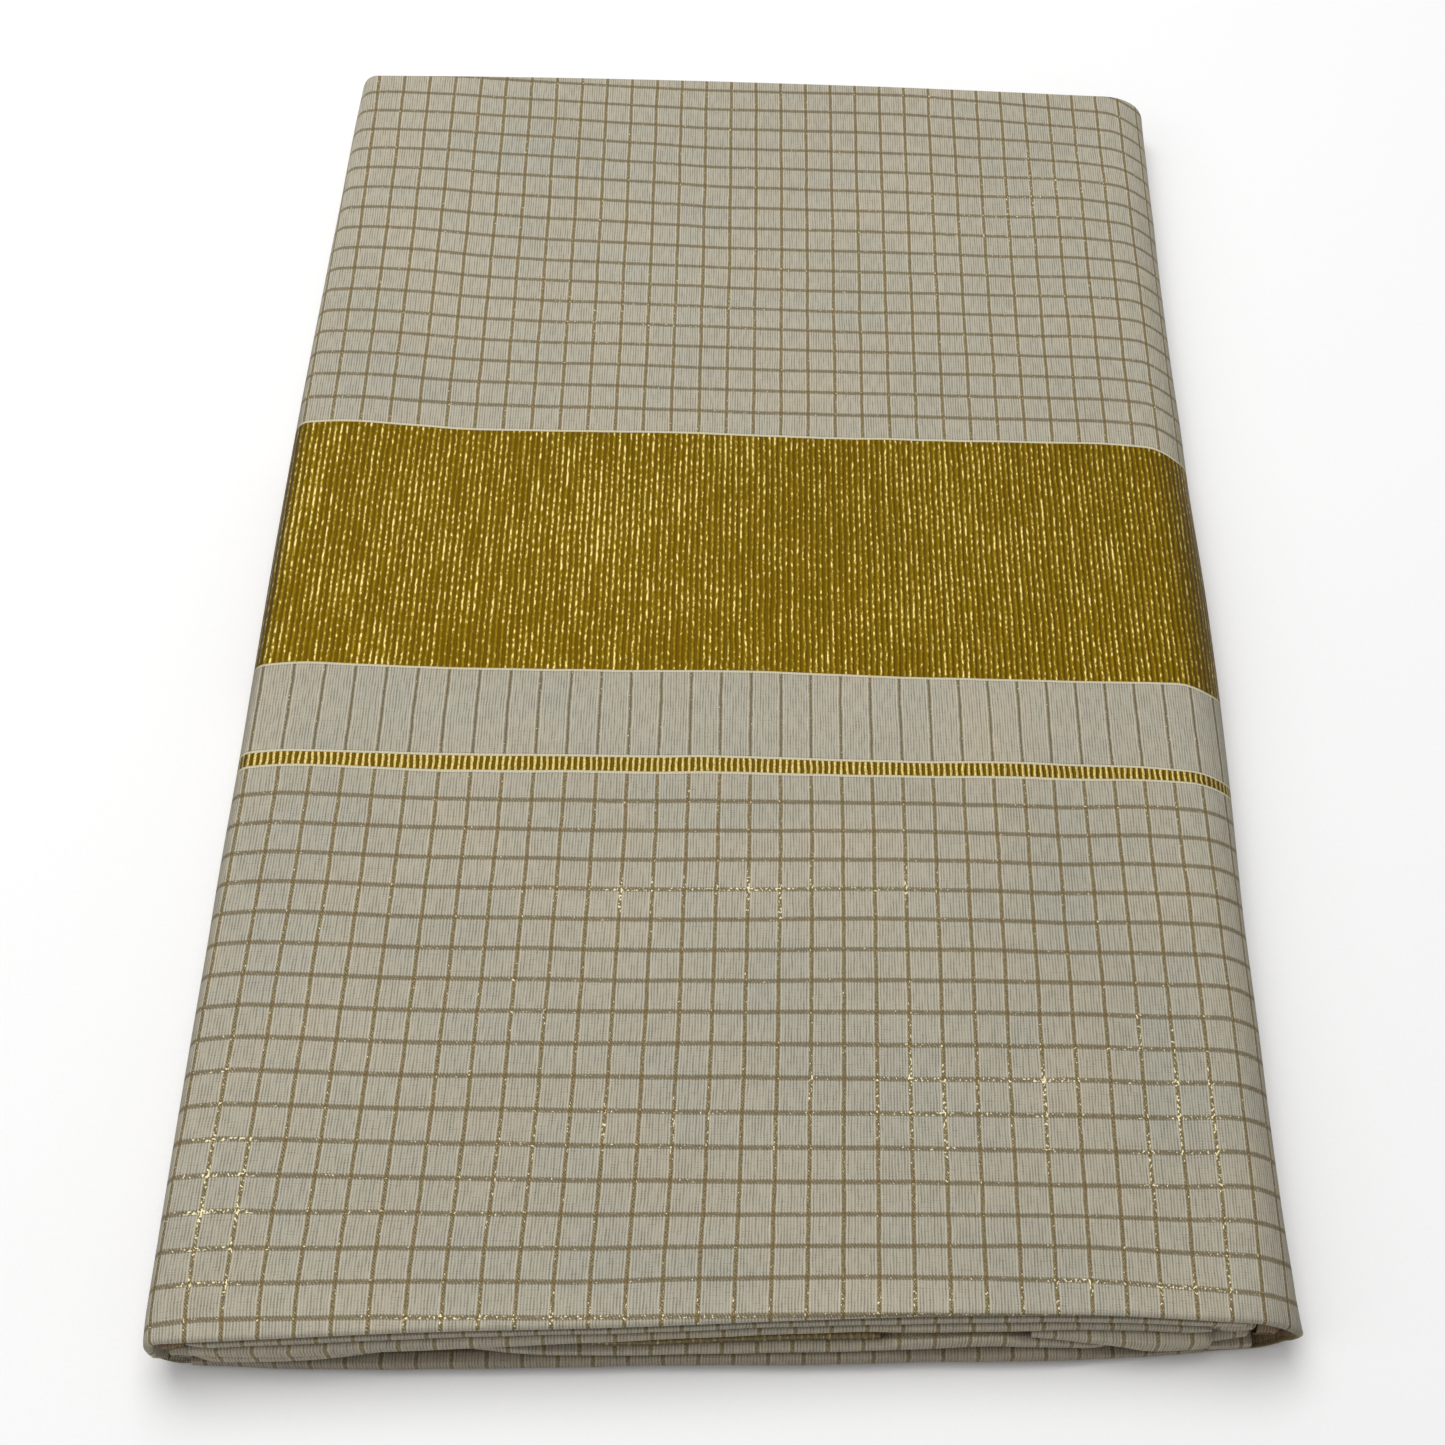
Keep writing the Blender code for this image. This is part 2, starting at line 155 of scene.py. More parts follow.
# %% Sizes of the pack
PACK_HEIGHT = 22.5 * MM
HALF_LENGTH = 242 * MM
MIDDLE = np.array([0.7, 0.6, 0]) * MM
HEM_THICKNESS = 2.7 * MM
UNDER_HEM_THICKNESS = 1.1 * MM
HEM_DEPTH = 29 * MM
CLOTH = 0.45 * MM
CROWN = 0.8 * MM
NEAR_DROOP = 1.0 * MM
FAR_DROOP = 0.5 * MM
DROOP_REACH = 0.13
SWELL = 0.35 * MM
SWELLS_ALONG = 2.3
SWELLS_ACROSS = 0.8

Roll = namedtuple("Roll", "reach_top reach_floor widest")
LEFT_ROLL = Roll(reach_top=6 * MM, reach_floor=9 * MM, widest=14.5 * MM)
RIGHT_ROLL = Roll(reach_top=16 * MM, reach_floor=13 * MM, widest=10.5 * MM)

# The long sides, in millimetres, by place along the pack
Side = namedtuple("Side", "place left right")
SIDES = chart(
    Side,
    (-248, -152.6, 152.6),
    (-231, -153.7, 151.9),
    (-146, -153.9, 152.0),
    (-60, -153.8, 153.7),
    (0, -153.6, 154.6),
    (60, -153.1, 153.6),
    (150, -151.3, 153.8),
    (215, -150.0, 155.0),
    (248, -148.9, 155.4),
)

# The short ends, in millimetres, by place across the pack
End = namedtuple("End", "place near far")
ENDS = chart(
    End,
    (-154, -247.4, 247.6),
    (-130, -245.9, 248.0),
    (-80, -242.8, 248.3),
    (-30, -240.7, 247.9),
    (20, -237.9, 246.9),
    (60, -236.1, 245.8),
    (100, -235.4, 244.2),
    (130, -236.4, 242.8),
    (154, -237.2, 241.9),
)

# How far the near edge of the cloth underneath stands out past the top, in millimetres
Edge = namedtuple("Edge", "place proud")
UNDER_EDGE = chart(
    Edge,
    (-154, -0.9),
    (-146, -0.7),
    (-139, -1.1),
    (-130, -0.6),
    (90, -0.6),
    (112, 0.5),
    (126, 2.0),
    (136, 0.9),
    (144, 0.2),
    (154, -1.0),
)


def follow(table, column, place):
    """One column of an outline table as a smooth curve, in metres."""
    places = [row.place * MM for row in table]
    values = [getattr(row, column) * MM for row in table]
    inside = np.clip(place, places[0], places[-1])
    return smooth(places, values, inside)


# %% [markdown]
# ## Soft creases
# The cloth was pressed by hand, so its top isn't quite flat. It has a few long soft
# troughs and ridges, a fraction of a millimetre deep. A cloth simulation would put them
# anywhere. Each one here has a place, a direction, a length, a width and a height of its
# own, and similar ones go on the sides and underneath, where the photograph can't look.

# %% Creases
# Places and lengths in millimetres. turn is in degrees from across the pack.
Crease = namedtuple("Crease", "x y turn length width height")
TOP_CREASES = chart(
    Crease,
    (96, -118, 78, 170, 13, -0.45),
    (62, -176, 8, 120, 9, -0.35),
    (-96, -196, 4, 110, 8, 0.30),
    (24, -221, 2, 210, 6, 0.35),
    (-58, -128, 84, 130, 11, 0.30),
    (12, -92, 3, 150, 8, -0.40),
    (-104, -60, 176, 80, 8, 0.30),
    (70, -52, 2, 120, 7, 0.35),
    (-120, 20, 86, 120, 10, -0.35),
    (46, 28, 80, 90, 12, 0.35),
    (40, 96, 174, 130, 11, 0.40),
    (-66, 118, 95, 120, 12, -0.35),
    (92, 158, 100, 120, 13, -0.45),
    (-112, 176, 88, 110, 10, 0.35),
    (8, 204, 3, 160, 10, -0.40),
    (-20, 150, 98, 90, 9, 0.30),
)
# On a side roll x is the height up the side, and a dent is negative
LEFT_CREASES = chart(
    Crease,
    (12, -150, 82, 60, 4, -0.30),
    (15, -40, 94, 90, 4, -0.35),
    (9, 90, 86, 70, 4, -0.30),
    (13, 190, 95, 60, 5, -0.35),
)
RIGHT_CREASES = chart(
    Crease,
    (13, -190, 84, 60, 5, -0.35),
    (9, -90, 95, 80, 4, -0.40),
    (14, 20, 88, 90, 5, -0.35),
    (10, 130, 92, 80, 4, -0.40),
    (13, 210, 86, 50, 5, -0.30),
)


def crease_height(creases, x, y):
    """Sum of the creases at a point: each is height * exp(-(a / width)^2 - (b / half
    length)^4), where a is the distance across the crease and b the distance along it."""
    total = np.zeros(np.broadcast_shapes(np.shape(x), np.shape(y)))
    for crease in creases:
        turn = np.radians(crease.turn)
        dx, dy = x / MM - crease.x, y / MM - crease.y
        along = dx * np.cos(turn) + dy * np.sin(turn)
        across = dy * np.cos(turn) - dx * np.sin(turn)
        fade = (2 * along / crease.length) ** 4
        total = total + crease.height * MM * np.exp(-((across / crease.width) ** 2) - fade)
    return total


# %% The outer cloth's surface
def top_height(across, share):
    """Height of the top: a low crown and soft swells that fade at the edges, and ends
    that sink a little. across is -1 at the left side and 1 at the right one."""
    inside = (1 - across**2) * np.sin(np.pi * np.clip(share, 0, 1))
    swells = np.sin(2 * np.pi * (SWELLS_ALONG * share + SWELLS_ACROSS * across))
    near = NEAR_DROOP * (1 - ease(share / DROOP_REACH))
    far = FAR_DROOP * (1 - ease((1 - share) / DROOP_REACH))
    return PACK_HEIGHT + inside * (CROWN + SWELL * swells) - near - far


def roll_section(side, edge, outward, turn, top, point=1.0):
    """Point and outward normal on a side roll. turn runs from 0 on the floor to 1 on the
    top: x = edge - reach * (1 - cos a)^point, z = widest + rise * sin a. A point below 1
    makes the roll's nose sharper."""
    angle = (turn - 0.5) * np.pi
    upper = angle > 0
    reach = np.where(upper, side.reach_top, side.reach_floor)
    rise = np.where(upper, top - side.widest, side.widest)
    x = edge - outward * reach * (1 - np.cos(angle)) ** point
    z = side.widest + rise * np.sin(angle)
    normal_x = outward * np.cos(angle) / reach
    normal_z = np.sin(angle) / rise
    size = np.hypot(normal_x, normal_z)
    return x, z, normal_x / size, normal_z / size


# The cloth starts under the pack, left of its middle, climbs the left roll, crosses the
# top, goes down the right roll and ends under the pack, where it laps over its start.
# Places round it: 0 to 1 is the top, 1 to 2 the right roll, 2 to 3 the floor, and -1 to 0
# the left roll, with the rest of the floor below -1.
TIP_POINT = 0.28
TIP_FLARE = 0.8 * MM
TIP_REACH = 0.06
LAP_START = -1.42
LAP_END = 2.66
LAP_LIFT = 0.55 * MM
LAP_RAMP = 0.05
# Creases fade over the outer sixth of the half width, and are pressed flatter underneath
TOP_FADE = 6
FLOOR_FLAT, FLOOR_FADE = 0.6, 0.3
UNDER_CREASES = 0.6
LEFT_BY_WEIGHT = 0.4
# Below this height, and over this share of the length, the edge has its own outline
UNDER_HEIGHT, UNDER_SOFT = 5 * MM, 3 * MM
UNDER_REACH = 0.125


def wrap(ring, share, inset, depth):
    """Points of the outer cloth. ring is the place round it, share the part of the way
    from the near end to the far end, inset the distance in from the nearer end and depth
    the distance in from the outer face."""
    ring, share, inset, depth = np.broadcast_arrays(ring, share, inset, depth)
    nominal = (2 * share - 1) * HALF_LENGTH
    left, right_edge = follow(SIDES, "left", nominal), follow(SIDES, "right", nominal)
    edge_top = top_height(1.0, share)
    tip = 1 - ease(share / TIP_REACH)
    flared, point = right_edge + TIP_FLARE * tip, 1 - TIP_POINT * tip
    lx, lz, lnx, lnz = roll_section(LEFT_ROLL, left, -1, ring + 1, edge_top)
    rx, rz, rnx, rnz = roll_section(RIGHT_ROLL, flared, 1, 2 - ring, edge_top, point)
    along = nominal - MIDDLE[1]
    lx = lx + lnx * crease_height(LEFT_CREASES, lz, along)
    rx = rx + rnx * crease_height(RIGHT_CREASES, rz, along)
    top_from, top_to = left + LEFT_ROLL.reach_top, right_edge - RIGHT_ROLL.reach_top
    floor_from, floor_to = right_edge - RIGHT_ROLL.reach_floor, left + LEFT_ROLL.reach_floor
    floor_ring = np.where(ring < 0, ring + 4, ring) - 2
    top_x = top_from + (top_to - top_from) * ring
    floor_x = floor_from + (floor_to - floor_from) * floor_ring
    creases = crease_height(TOP_CREASES, top_x - MIDDLE[0], along)
    across = 2 * ring - 1
    top_z = top_height(across, share) + creases * ease(TOP_FADE * (1 - np.abs(across)))
    under = np.maximum(crease_height(TOP_CREASES, -floor_x, along), 0)
    fade = 1 - ease((np.abs(2 * floor_ring - 1) - FLOOR_FLAT) / FLOOR_FADE)
    under = under * fade * UNDER_CREASES * LEFT_BY_WEIGHT
    lap = LAP_LIFT * (1 - ease((ring - (2 * LAP_RAMP + LAP_END - 4)) / LAP_RAMP))
    under = np.where(ring < 0, np.maximum(lap, under), under)
    zero, one = np.zeros_like(lz), np.ones_like(lz)
    places = [(ring >= 0) & (ring <= 1), (ring > 1) & (ring < 2), (ring >= 2) | (ring <= -1)]
    x = np.select(places, [top_x, rx, floor_x], lx)
    z = np.select(places, [top_z, rz, under], lz)
    normal_x = np.select(places, [zero, rnx, zero], lnx)
    normal_z = np.select(places, [one, rnz, -one], lnz)
    x = x - normal_x * depth
    z = z - normal_z * depth
    y_near, y_far = follow(ENDS, "near", x), follow(ENDS, "far", x)
    y = y_near + share * (y_far - y_near) + np.where(share < 0.5, inset, -inset)
    low = 1 - ease((z - UNDER_HEIGHT) / UNDER_SOFT)
    out = follow(UNDER_EDGE, "proud", x) * low
    y = y - np.where(share < 0.5, out * (1 - ease(share / UNDER_REACH)), 0)
    return np.stack([x, y, z], axis=-1)


# %% [markdown]
# ## The lie of the threads
# The check isn't a perfect grid: the weft lines sag and drift by a check across the pack,
# and the warp lines bow a little. Two short tables say where some of the lines lie on the
# top. Reading them the other way round gives each point of the cloth its place in the
# weave: u counts checks across, v counts checks along, and gold lines lie at whole
# numbers. A grid straight in x and y would be simpler, and would look printed.

# %% Where the gold lines lie
# Warp lines, in millimetres across the pack, by place along it
Warp = namedtuple("Warp", "place line1 line8 line16 line24 line31")
WARP_LIES = chart(
    Warp,
    (-246, -141.9, -75.6, 0.5, 76.4, 139.8),
    (-235, -142.9, -75.6, 0.8, 76.5, 140.5),
    (-192, -141.9, -74.0, 2.1, 76.8, 141.6),
    (-147, -141.1, -72.8, 3.0, 77.4, 142.2),
    (-78, -140.0, -71.7, 3.7, 77.8, 142.0),
    (72, -140.4, -71.9, 3.8, 78.0, 142.3),
    (152, -140.8, -72.3, 4.0, 78.5, 143.0),
    (234, -142.4, -73.3, 3.7, 79.4, 143.8),
)
WARP_LINES = (1, 8, 16, 24, 31)

# Weft threads, in millimetres along the pack, by place across it. The stripe lies from
# thread 1 to 1.5 and the wide band from 5 to 15.
WEFT_PLACES = (-150, -137, -88, -40, -8, 54, 91, 119, 137, 148)
Weft = namedtuple("Weft", "thread lies")
WEFT_LIES = chart(
    Weft,
    (-16, (-243, -241.5, -240, -239.3, -238.3, -237, -237, -238, -239, -239)),
    (-15, (-233, -232, -230.5, -229.7, -228.3, -227, -227, -228.5, -229.5, -230)),
    (-14, (-223.5, -222.5, -221.5, -220.8, -219.8, -218.5, -218, -219, -219.5, -220)),
    (-12, (-203, -202, -202.1, -202, -201.8, -201, -201, -201, -200.5, -201)),
    (-8, (-162.5, -161.5, -162.3, -161.9, -161.4, -160.5, -160, -160.5, -160.5, -161)),
    (-5, (-132.5, -131.5, -132.6, -132.5, -132, -130.5, -130.5, -130.5, -130.5, -131)),
    (0, (-82, -81, -82.4, -82.2, -81.4, -81.3, -81.5, -81, -81.5, -82.3)),
    (1, (-71.5, -70.5, -72, -71.5, -71, -71.5, -71, -71, -71.5, -72.8)),
    (1.5, (-67, -66, -67, -66.5, -66, -67, -66.5, -67, -68, -69.6)),
    (5, (-33.5, -32.5, -34, -33.8, -33.6, -35, -35, -35, -35, -37)),
    (15, (67, 68, 64.5, 64.2, 63.9, 63, 63, 63, 62, 58.5)),
    (16, (79, 79.5, 76.2, 75.3, 74.6, 74, 73.5, 73.5, 72.5, 69.5)),
    (20, (120, 120.5, 116.6, 115.3, 114.4, 112.8, 113, 113, 112, 109)),
    (24, (161.5, 162.5, 158.3, 155.9, 154.1, 152.9, 152.5, 152.5, 151, 148)),
    (28, (204, 205, 202.7, 199.6, 197, 195.7, 194.5, 193.5, 191, 188)),
    (31, (236, 237, 234.4, 231.3, 229.7, 228.8, 226.3, 223.5, 221.5, 218)),
)
PITCH_ACROSS = 9.4 * MM
RIGHT_ROLL_PITCH = 8.5 * MM
PITCH_ALONG = 9.95 * MM


def count(places, lines, numbers, first, second):
    """Threads counted at a point: first each line's own place at one coordinate, then the
    count between those lines at the other one."""
    lies = np.stack([smooth(places, np.array(line) * MM, first) for line in lines])
    return smooth(lies, np.array(numbers, float), second)


def warp_count(x, y):
    """Checks across at a point of the top."""
    places = [row.place * MM for row in WARP_LIES]
    return count(places, list(zip(*WARP_LIES))[1:], WARP_LINES, np.asarray(y), x)


def weft_count(x, y):
    """Checks along at a point of the top."""
    places = np.array(WEFT_PLACES) * MM
    threads, lies = zip(*WEFT_LIES)
    return count(places, lies, threads, np.clip(x, places[0], places[-1]), y)


def run(points, axis):
    """Length of the cloth along one axis of a grid of points, from its first row."""
    steps = np.linalg.norm(np.diff(points, axis=axis), axis=-1)
    first = np.zeros_like(np.take(steps, [0], axis=axis))
    return np.concatenate([first, np.cumsum(steps, axis=axis)], axis=axis)


# %% Making a piece of cloth from a grid
cloth_pieces = []


def woven_mesh(name, points, faces, weave, caps=()):
    """A mesh on a grid of points, with their places in the weave as a UV map. Caps are
    faces with many corners."""
    mesh = bpy.data.meshes.new(name)
    mesh.from_pydata((points - MIDDLE).reshape(-1, 3).tolist(), [], [*faces.tolist(), *caps])
    mesh.uv_layers.new(name="weave")
    corners = np.concatenate([faces.ravel(), *caps])
    mesh.uv_layers["weave"].data.foreach_set("uv", weave.reshape(-1, 2)[corners].ravel())
    return mesh


def cloth_piece(name, points, weave, nodes, turn_over=False):
    """A sheet from a grid of points, thickened inwards. Its faces look to the side from
    which the rows run away and the columns run left, or to the other if turned over."""
    if turn_over:
        points, weave = points[::-1], weave[::-1]
    rows, columns = points.shape[:2]
    index = np.arange(rows * columns).reshape(rows, columns)
    corners = (index[:-1, :-1], index[1:, :-1], index[1:, 1:], index[:-1, 1:])
    faces = np.stack(corners, axis=-1).reshape(-1, 4)
    mesh = woven_mesh(name, points, faces, weave)
    mesh.shade_smooth()
    piece = add(name, mesh)
    wall = piece.modifiers.new("thickness", "SOLIDIFY")
    wall.thickness = CLOTH
    wall.offset = -1
    wall.use_even_offset = False
    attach(piece, "root")
    if nodes:
        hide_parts(*nodes)
    cloth_pieces.append(piece)
    return piece


# %% [markdown]
# ## The outer cloth
# One stretch of cloth makes the top, both rolls and the underside, where it laps over its
# own start. Its ends are turned under, which gives the soft rounded edge at the near end.
# A box with rounded edges would have no layers at its ends. Here the grid runs round the
# pack in one direction and from one turned end to the other in the second, so the cloth
# is one sheet and its threads run through the turn.

# %% Outer cloth
TOP_COLUMNS = 110
ROLL_COLUMNS = 15
FLOOR_COLUMNS = 14
LENGTH_ROWS = 190
NOSE_STEPS = 8
# The wide turn of the hem lies between these places round the pack
TURN_FROM, TURN_TO, TURN_FADE = -0.75, 1.8, 0.35

ring = np.concatenate([
    np.linspace(LAP_START, -1, FLOOR_COLUMNS)[:-1],
    np.linspace(-1, 0, ROLL_COLUMNS)[:-1],
    np.linspace(0, 1, TOP_COLUMNS)[:-1],
    np.linspace(1, 2, ROLL_COLUMNS + 4)[:-1],
    np.linspace(2, LAP_END, FLOOR_COLUMNS + 4),
])[:, None]
wide_turn = np.minimum(ease((ring - TURN_FROM) / TURN_FADE), ease((TURN_TO - ring) / TURN_FADE))
turn_thickness = UNDER_HEM_THICKNESS + (HEM_THICKNESS - UNDER_HEM_THICKNESS) * wide_turn
quarter = np.linspace(-np.pi / 2, np.pi / 2, NOSE_STEPS + 1)
hem_inset = HEM_DEPTH * np.array([1, 0.6, 0.25])
nose_inset = turn_thickness / 2 * (1 - np.cos(quarter))
nose_depth = turn_thickness / 2 * (1 - np.sin(quarter))
inset = np.concatenate([np.broadcast_to(hem_inset, (len(ring), 3)), nose_inset], axis=1)
depth = np.concatenate([np.broadcast_to(turn_thickness, (len(ring), 3)), nose_depth], axis=1)
length = np.linspace(0, 1, LENGTH_ROWS)[1:-1]
flat = np.zeros((len(ring), len(length)))
share = np.concatenate([np.zeros(inset.shape[1]), length, np.ones(inset.shape[1])])
inset = np.concatenate([inset, flat, inset[:, ::-1]], axis=1)
depth = np.concatenate([depth, flat, depth[:, ::-1]], axis=1)
outer = wrap(ring, share[None], inset, depth)

# The weave's place: read from the tables on the top, and by the cloth's length from there
LEFT_SLIP, RIGHT_SLIP = 0.42, -0.06
SLIP_FROM, SLIP_OVER = 0.7, 0.6
TABLE_EDGE = 150 * MM
turned = len(hem_inset) + NOSE_STEPS
main = slice(turned, -turned)
face = outer[:, main] - MIDDLE
first_top, last_top = np.searchsorted(ring[:, 0], [0, 1])
u = warp_count(face[..., 0], face[..., 1])
round_it = run(face, 0) / PITCH_ACROSS
u = np.where(ring < 0, u[first_top] - round_it[first_top] + round_it, u)
down_right = (round_it - round_it[last_top]) * PITCH_ACROSS / RIGHT_ROLL_PITCH
u = np.where(ring > 1, u[last_top] + down_right, u)
widest = np.abs(ring - 0.5) > 1
edge_x = np.where(ring < 0, -TABLE_EDGE, TABLE_EDGE)
v = weft_count(np.where(widest, edge_x, face[..., 0]), face[..., 1])
slip = np.where(ring < 0, LEFT_SLIP, RIGHT_SLIP)
v = v + slip * ease((np.abs(ring - 0.5) - SLIP_FROM) / SLIP_OVER)
u = np.concatenate([np.repeat(u[:, :1], turned, 1), u, np.repeat(u[:, -1:], turned, 1)], axis=1)
along = run(outer, 1) / PITCH_ALONG
v_near = v[:, :1] - along[:, turned:turned + 1] + along[:, :turned]
v_far = v[:, -1:] + along[:, -turned:] - along[:, -turned - 1:-turned]
v = np.concatenate([v_near, v, v_far], axis=1)
outer_cloth = cloth_piece(
    "outer_cloth", outer, np.stack([u, v], axis=-1),
    ("top_stretch", "underside_stretch"),
)

# %% [markdown]
# ## Tone, painted light and shade, and painted glints
# The cloth's tone differs a little from place to place. Painted shade darkens the side rolls
# and the right near corner, and painted light makes the strip along the near edge lighter.
# The gold thread flashes only where it happens to stand towards the light, and these
# glints are painted into its colour. All are soft spots that follow the cloth, so they are
# kept as numbers on the grid's own points. Noise alone would put the flashes anywhere.

# %% Soft spots on the outer cloth
# Places on the top in millimetres, turn in degrees, size as a half length and half width
Spot = namedtuple("Spot", "x y turn length width value")
# Painted light and shade with some tone: the dark spots on the side rolls, where the band turns
# down them and at the right near corner are painted shade, the light strip along the near edge is
# painted light, and the broad soft patches mix tone with painted light and shade.
TONE_AND_SHADE_SPOTS = chart(
    Spot,
    (-70, 150, 90, 90, 45, 0.02),
    (30, 150, 90, 40, 40, 0.02),
    (20, 215, 0, 60, 40, -0.02),
    (-10, -52, 0, 150, 14, 0.04),
    (105, -170, 90, 90, 30, -0.05),
    (60, -236, 0, 90, 6, 0.05),
    (-60, -240, 0, 80, 5, 0.03),
    (-120, -150, 90, 90, 24, 0.02),
    (154, -170, 90, 120, 9, -0.22),
    (155, 60, 90, 130, 8, -0.16),
    (-153.5, 0, 90, 600, 2.5, -0.3),
    (-155, 18, 90, 58, 5, -0.4),
    (156, 15, 90, 56, 8, -0.3),
    (155, -215, 90, 70, 11, -0.1),
    (142, -239, 0, 20, 6, -0.14),
)
# Painted glints: stretches of gold thread that flash in the light, drawn into its colour
GLINT_SPOTS = chart(
    Spot,
    (20, -110, 0, 40, 3, 0.8),
    (-30, -113, 0, 40, 5, 0.6),
    (-34, -116, 90, 6, 3, 1.1),
    (3, -116, 90, 6, 3, 1.1),
    (13, -117, 90, 7, 3, 1.0),
    (50, -107, 90, 9, 3, 0.9),
    (-35, -186, 90, 10, 3, 1.0),
    (-16, -186, 90, 10, 3, 1.0),
    (-6, -186, 90, 9, 3, 0.9),
    (13, -188, 90, 7, 3, 0.8),
    (22, -175, 90, 9, 3, 0.9),
    (41, -175, 90, 9, 3, 0.8),
    (50, -171, 90, 18, 3, 1.0),
    (97, -176, 0, 40, 18, 0.2),
    (113, -156, 90, 8, 3, 1.0),
    (-143, -175, 90, 12, 3, 0.9),
    (-143, -212, 90, 18, 3, 1.1),
    (-133, -206, 90, 13, 3, 0.9),
    (-133, -234, 90, 4, 3, 1.1),
    (-122, -237, 90, 4, 3, 0.9),
    (-138, -192, 0, 9, 2.5, 1.2),
    (-141, -202, 0, 11, 2.5, 0.9),
    (-139, -213, 0, 14, 2.5, 1.1),
    (-136, -222, 0, 14, 2.5, 1.0),
    (-140, -232, 0, 9, 2.5, 1.0),
    (-110, -202, 90, 16, 3, 0.7),
    (-98, -212, 0, 7, 3, 0.7),
    (-80, -241, 0, 16, 4, 0.9),
    (-46, -239, 0, 22, 4, 0.9),
    (-8, -238, 0, 14, 4, 0.5),
    (-60, -196, 50, 22, 12, 0.6),
    (60, -234, 0, 55, 5, 0.7),
    (92, -228, 0, 10, 2.5, 1.3),
    (118, -229, 0, 9, 2.5, 1.3),
    (131, -224, 90, 12, 3, 1.1),
    (58, -182, 90, 20, 3, 0.9),
    (86, -182, 90, 16, 3, 0.8),
    (113, -195, 90, 13, 3, 1.2),
    (123, -180, 90, 18, 3, 1.3),
    (132, -186, 90, 20, 3, 1.2),
    (91, -171, 0, 10, 2.5, 0.8),
    (70, -176, 20, 40, 14, 0.4),
    (-62, -150, 30, 24, 14, 0.4),
    (-146, 30, 80, 42, 6, 1.0),
    (-112, 22, 84, 40, 16, 0.45),
    (-50, 20, 100, 50, 18, 0.5),
    (-12, 44, 60, 34, 20, 0.45),
    (70, 20, 80, 40, 24, 0.35),
    (105, 180, 40, 40, 20, 0.5),
    (-30, 120, 10, 50, 12, 0.4),
)


def soft_spots(spots, x, y):
    """Sum of the spots at a point: each is value * exp(-(a / length)^2 - (b / width)^2),
    where a and b are the distances along and across the spot."""
    total = np.zeros_like(x)
    for spot in spots:
        turn = np.radians(spot.turn)
        dx, dy = x / MM - spot.x, y / MM - spot.y
        a, b = dx * np.cos(turn) + dy * np.sin(turn), dy * np.cos(turn) - dx * np.sin(turn)
        total = total + spot.value * np.exp(-((a / spot.length) ** 2) - (b / spot.width) ** 2)
    return total


HALF_WAY_UP = 12 * MM
cloth_x, cloth_y = (outer - MIDDLE)[..., 0], (outer - MIDDLE)[..., 1]
upward_side = (outer[..., 2] > HALF_WAY_UP) * 1.0
for name, spots, base in (("tone", TONE_AND_SHADE_SPOTS, 1.0), ("glint", GLINT_SPOTS, 0.0)):
    value = base + soft_spots(spots, cloth_x, cloth_y) * upward_side
    outer_cloth.data.attributes.new(name, "FLOAT", "POINT")
    outer_cloth.data.attributes[name].data.foreach_set("value", value.ravel())
    print(name, "from", round(float(value.min()), 2), "to", round(float(value.max()), 2))


# %% [markdown]
# ## The folds at the two ends
# Inside the wrap the cloth goes to and fro, and each turn shows as a thin rounded nose at
# an end of the pack. Each nose bulges and slips a little on its own. The solids already
# have that lie, so it is measured from them here: at every place across the pack, the
# lowest and highest point and the outermost one. The thin cloth is then two legs and a
# round nose of those heights, with the threads counted along it. Copying the solid
# itself would give cloth three times too thick and no weave.

# %% Measuring a fold on the frame
NEAR_SPACING = 8 * MM
FAR_SPACING = 16 * MM
FOLD_SPACING = 2.5 * MM
FOLD_REACH = 29 * MM
HAIR = 0.02 * MM
PRESSED = 0.33
RIPPLE = 0.1 * MM
SLIP_LENGTH = 20 * MM
NOSE_ANGLES = np.linspace(np.pi / 2, -np.pi / 2, 13)
LEG_STEPS = np.linspace(0, 1, 5)[:-1]


def stations(name, outward):
    """Sections of a fold's solid. Each edge of its mesh is cut by a plane across the pack
    at x, at p + t (q - p) with t = (x - p) / (q - p), and the cut points of one plane
    give its lowest, highest and outermost point."""
    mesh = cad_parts[name].data
    points = np.empty(3 * len(mesh.vertices))
    mesh.vertices.foreach_get("co", points)
    points = points.reshape(-1, 3) + MIDDLE
    ends = np.empty(2 * len(mesh.edges), dtype=np.int32)
    mesh.edges.foreach_get("vertices", ends)
    first, second = points[ends.reshape(-1, 2)].transpose(1, 0, 2)
    start, stop = points[:, 0].min(), points[:, 0].max()
    spacing = NEAR_SPACING if outward < 0 else FAR_SPACING
    inner = np.arange(np.ceil(start / spacing + 0.25), np.floor(stop / spacing - 0.25) + 1)
    planes = np.concatenate([[start + HAIR], inner * spacing + HAIR, [stop - HAIR]])[:, None]
    span = second[:, 0] - first[:, 0]
    slanted = np.abs(span) > 1e-9
    share = (planes - first[:, 0]) / np.where(slanted, span, 1)
    cut = slanted & (share >= 0) & (share <= 1)
    y, z = (first[:, axis] + share * (second[:, axis] - first[:, axis]) for axis in (1, 2))
    low = np.where(cut, z, 1).min(axis=1)
    high = np.where(cut, z, -1).max(axis=1)
    front = outward * np.where(cut, outward * y, -1).max(axis=1)
    print(name, "measured at", len(planes), "places")
    return planes[:, 0], low, high, front


def with_legs(nose, start):
    """A nose's coordinates, between two legs that run to it from start."""
    leg = start + (nose[:, :1] - start) * LEG_STEPS
    return np.concatenate([leg, nose, leg[:, ::-1]], axis=1)


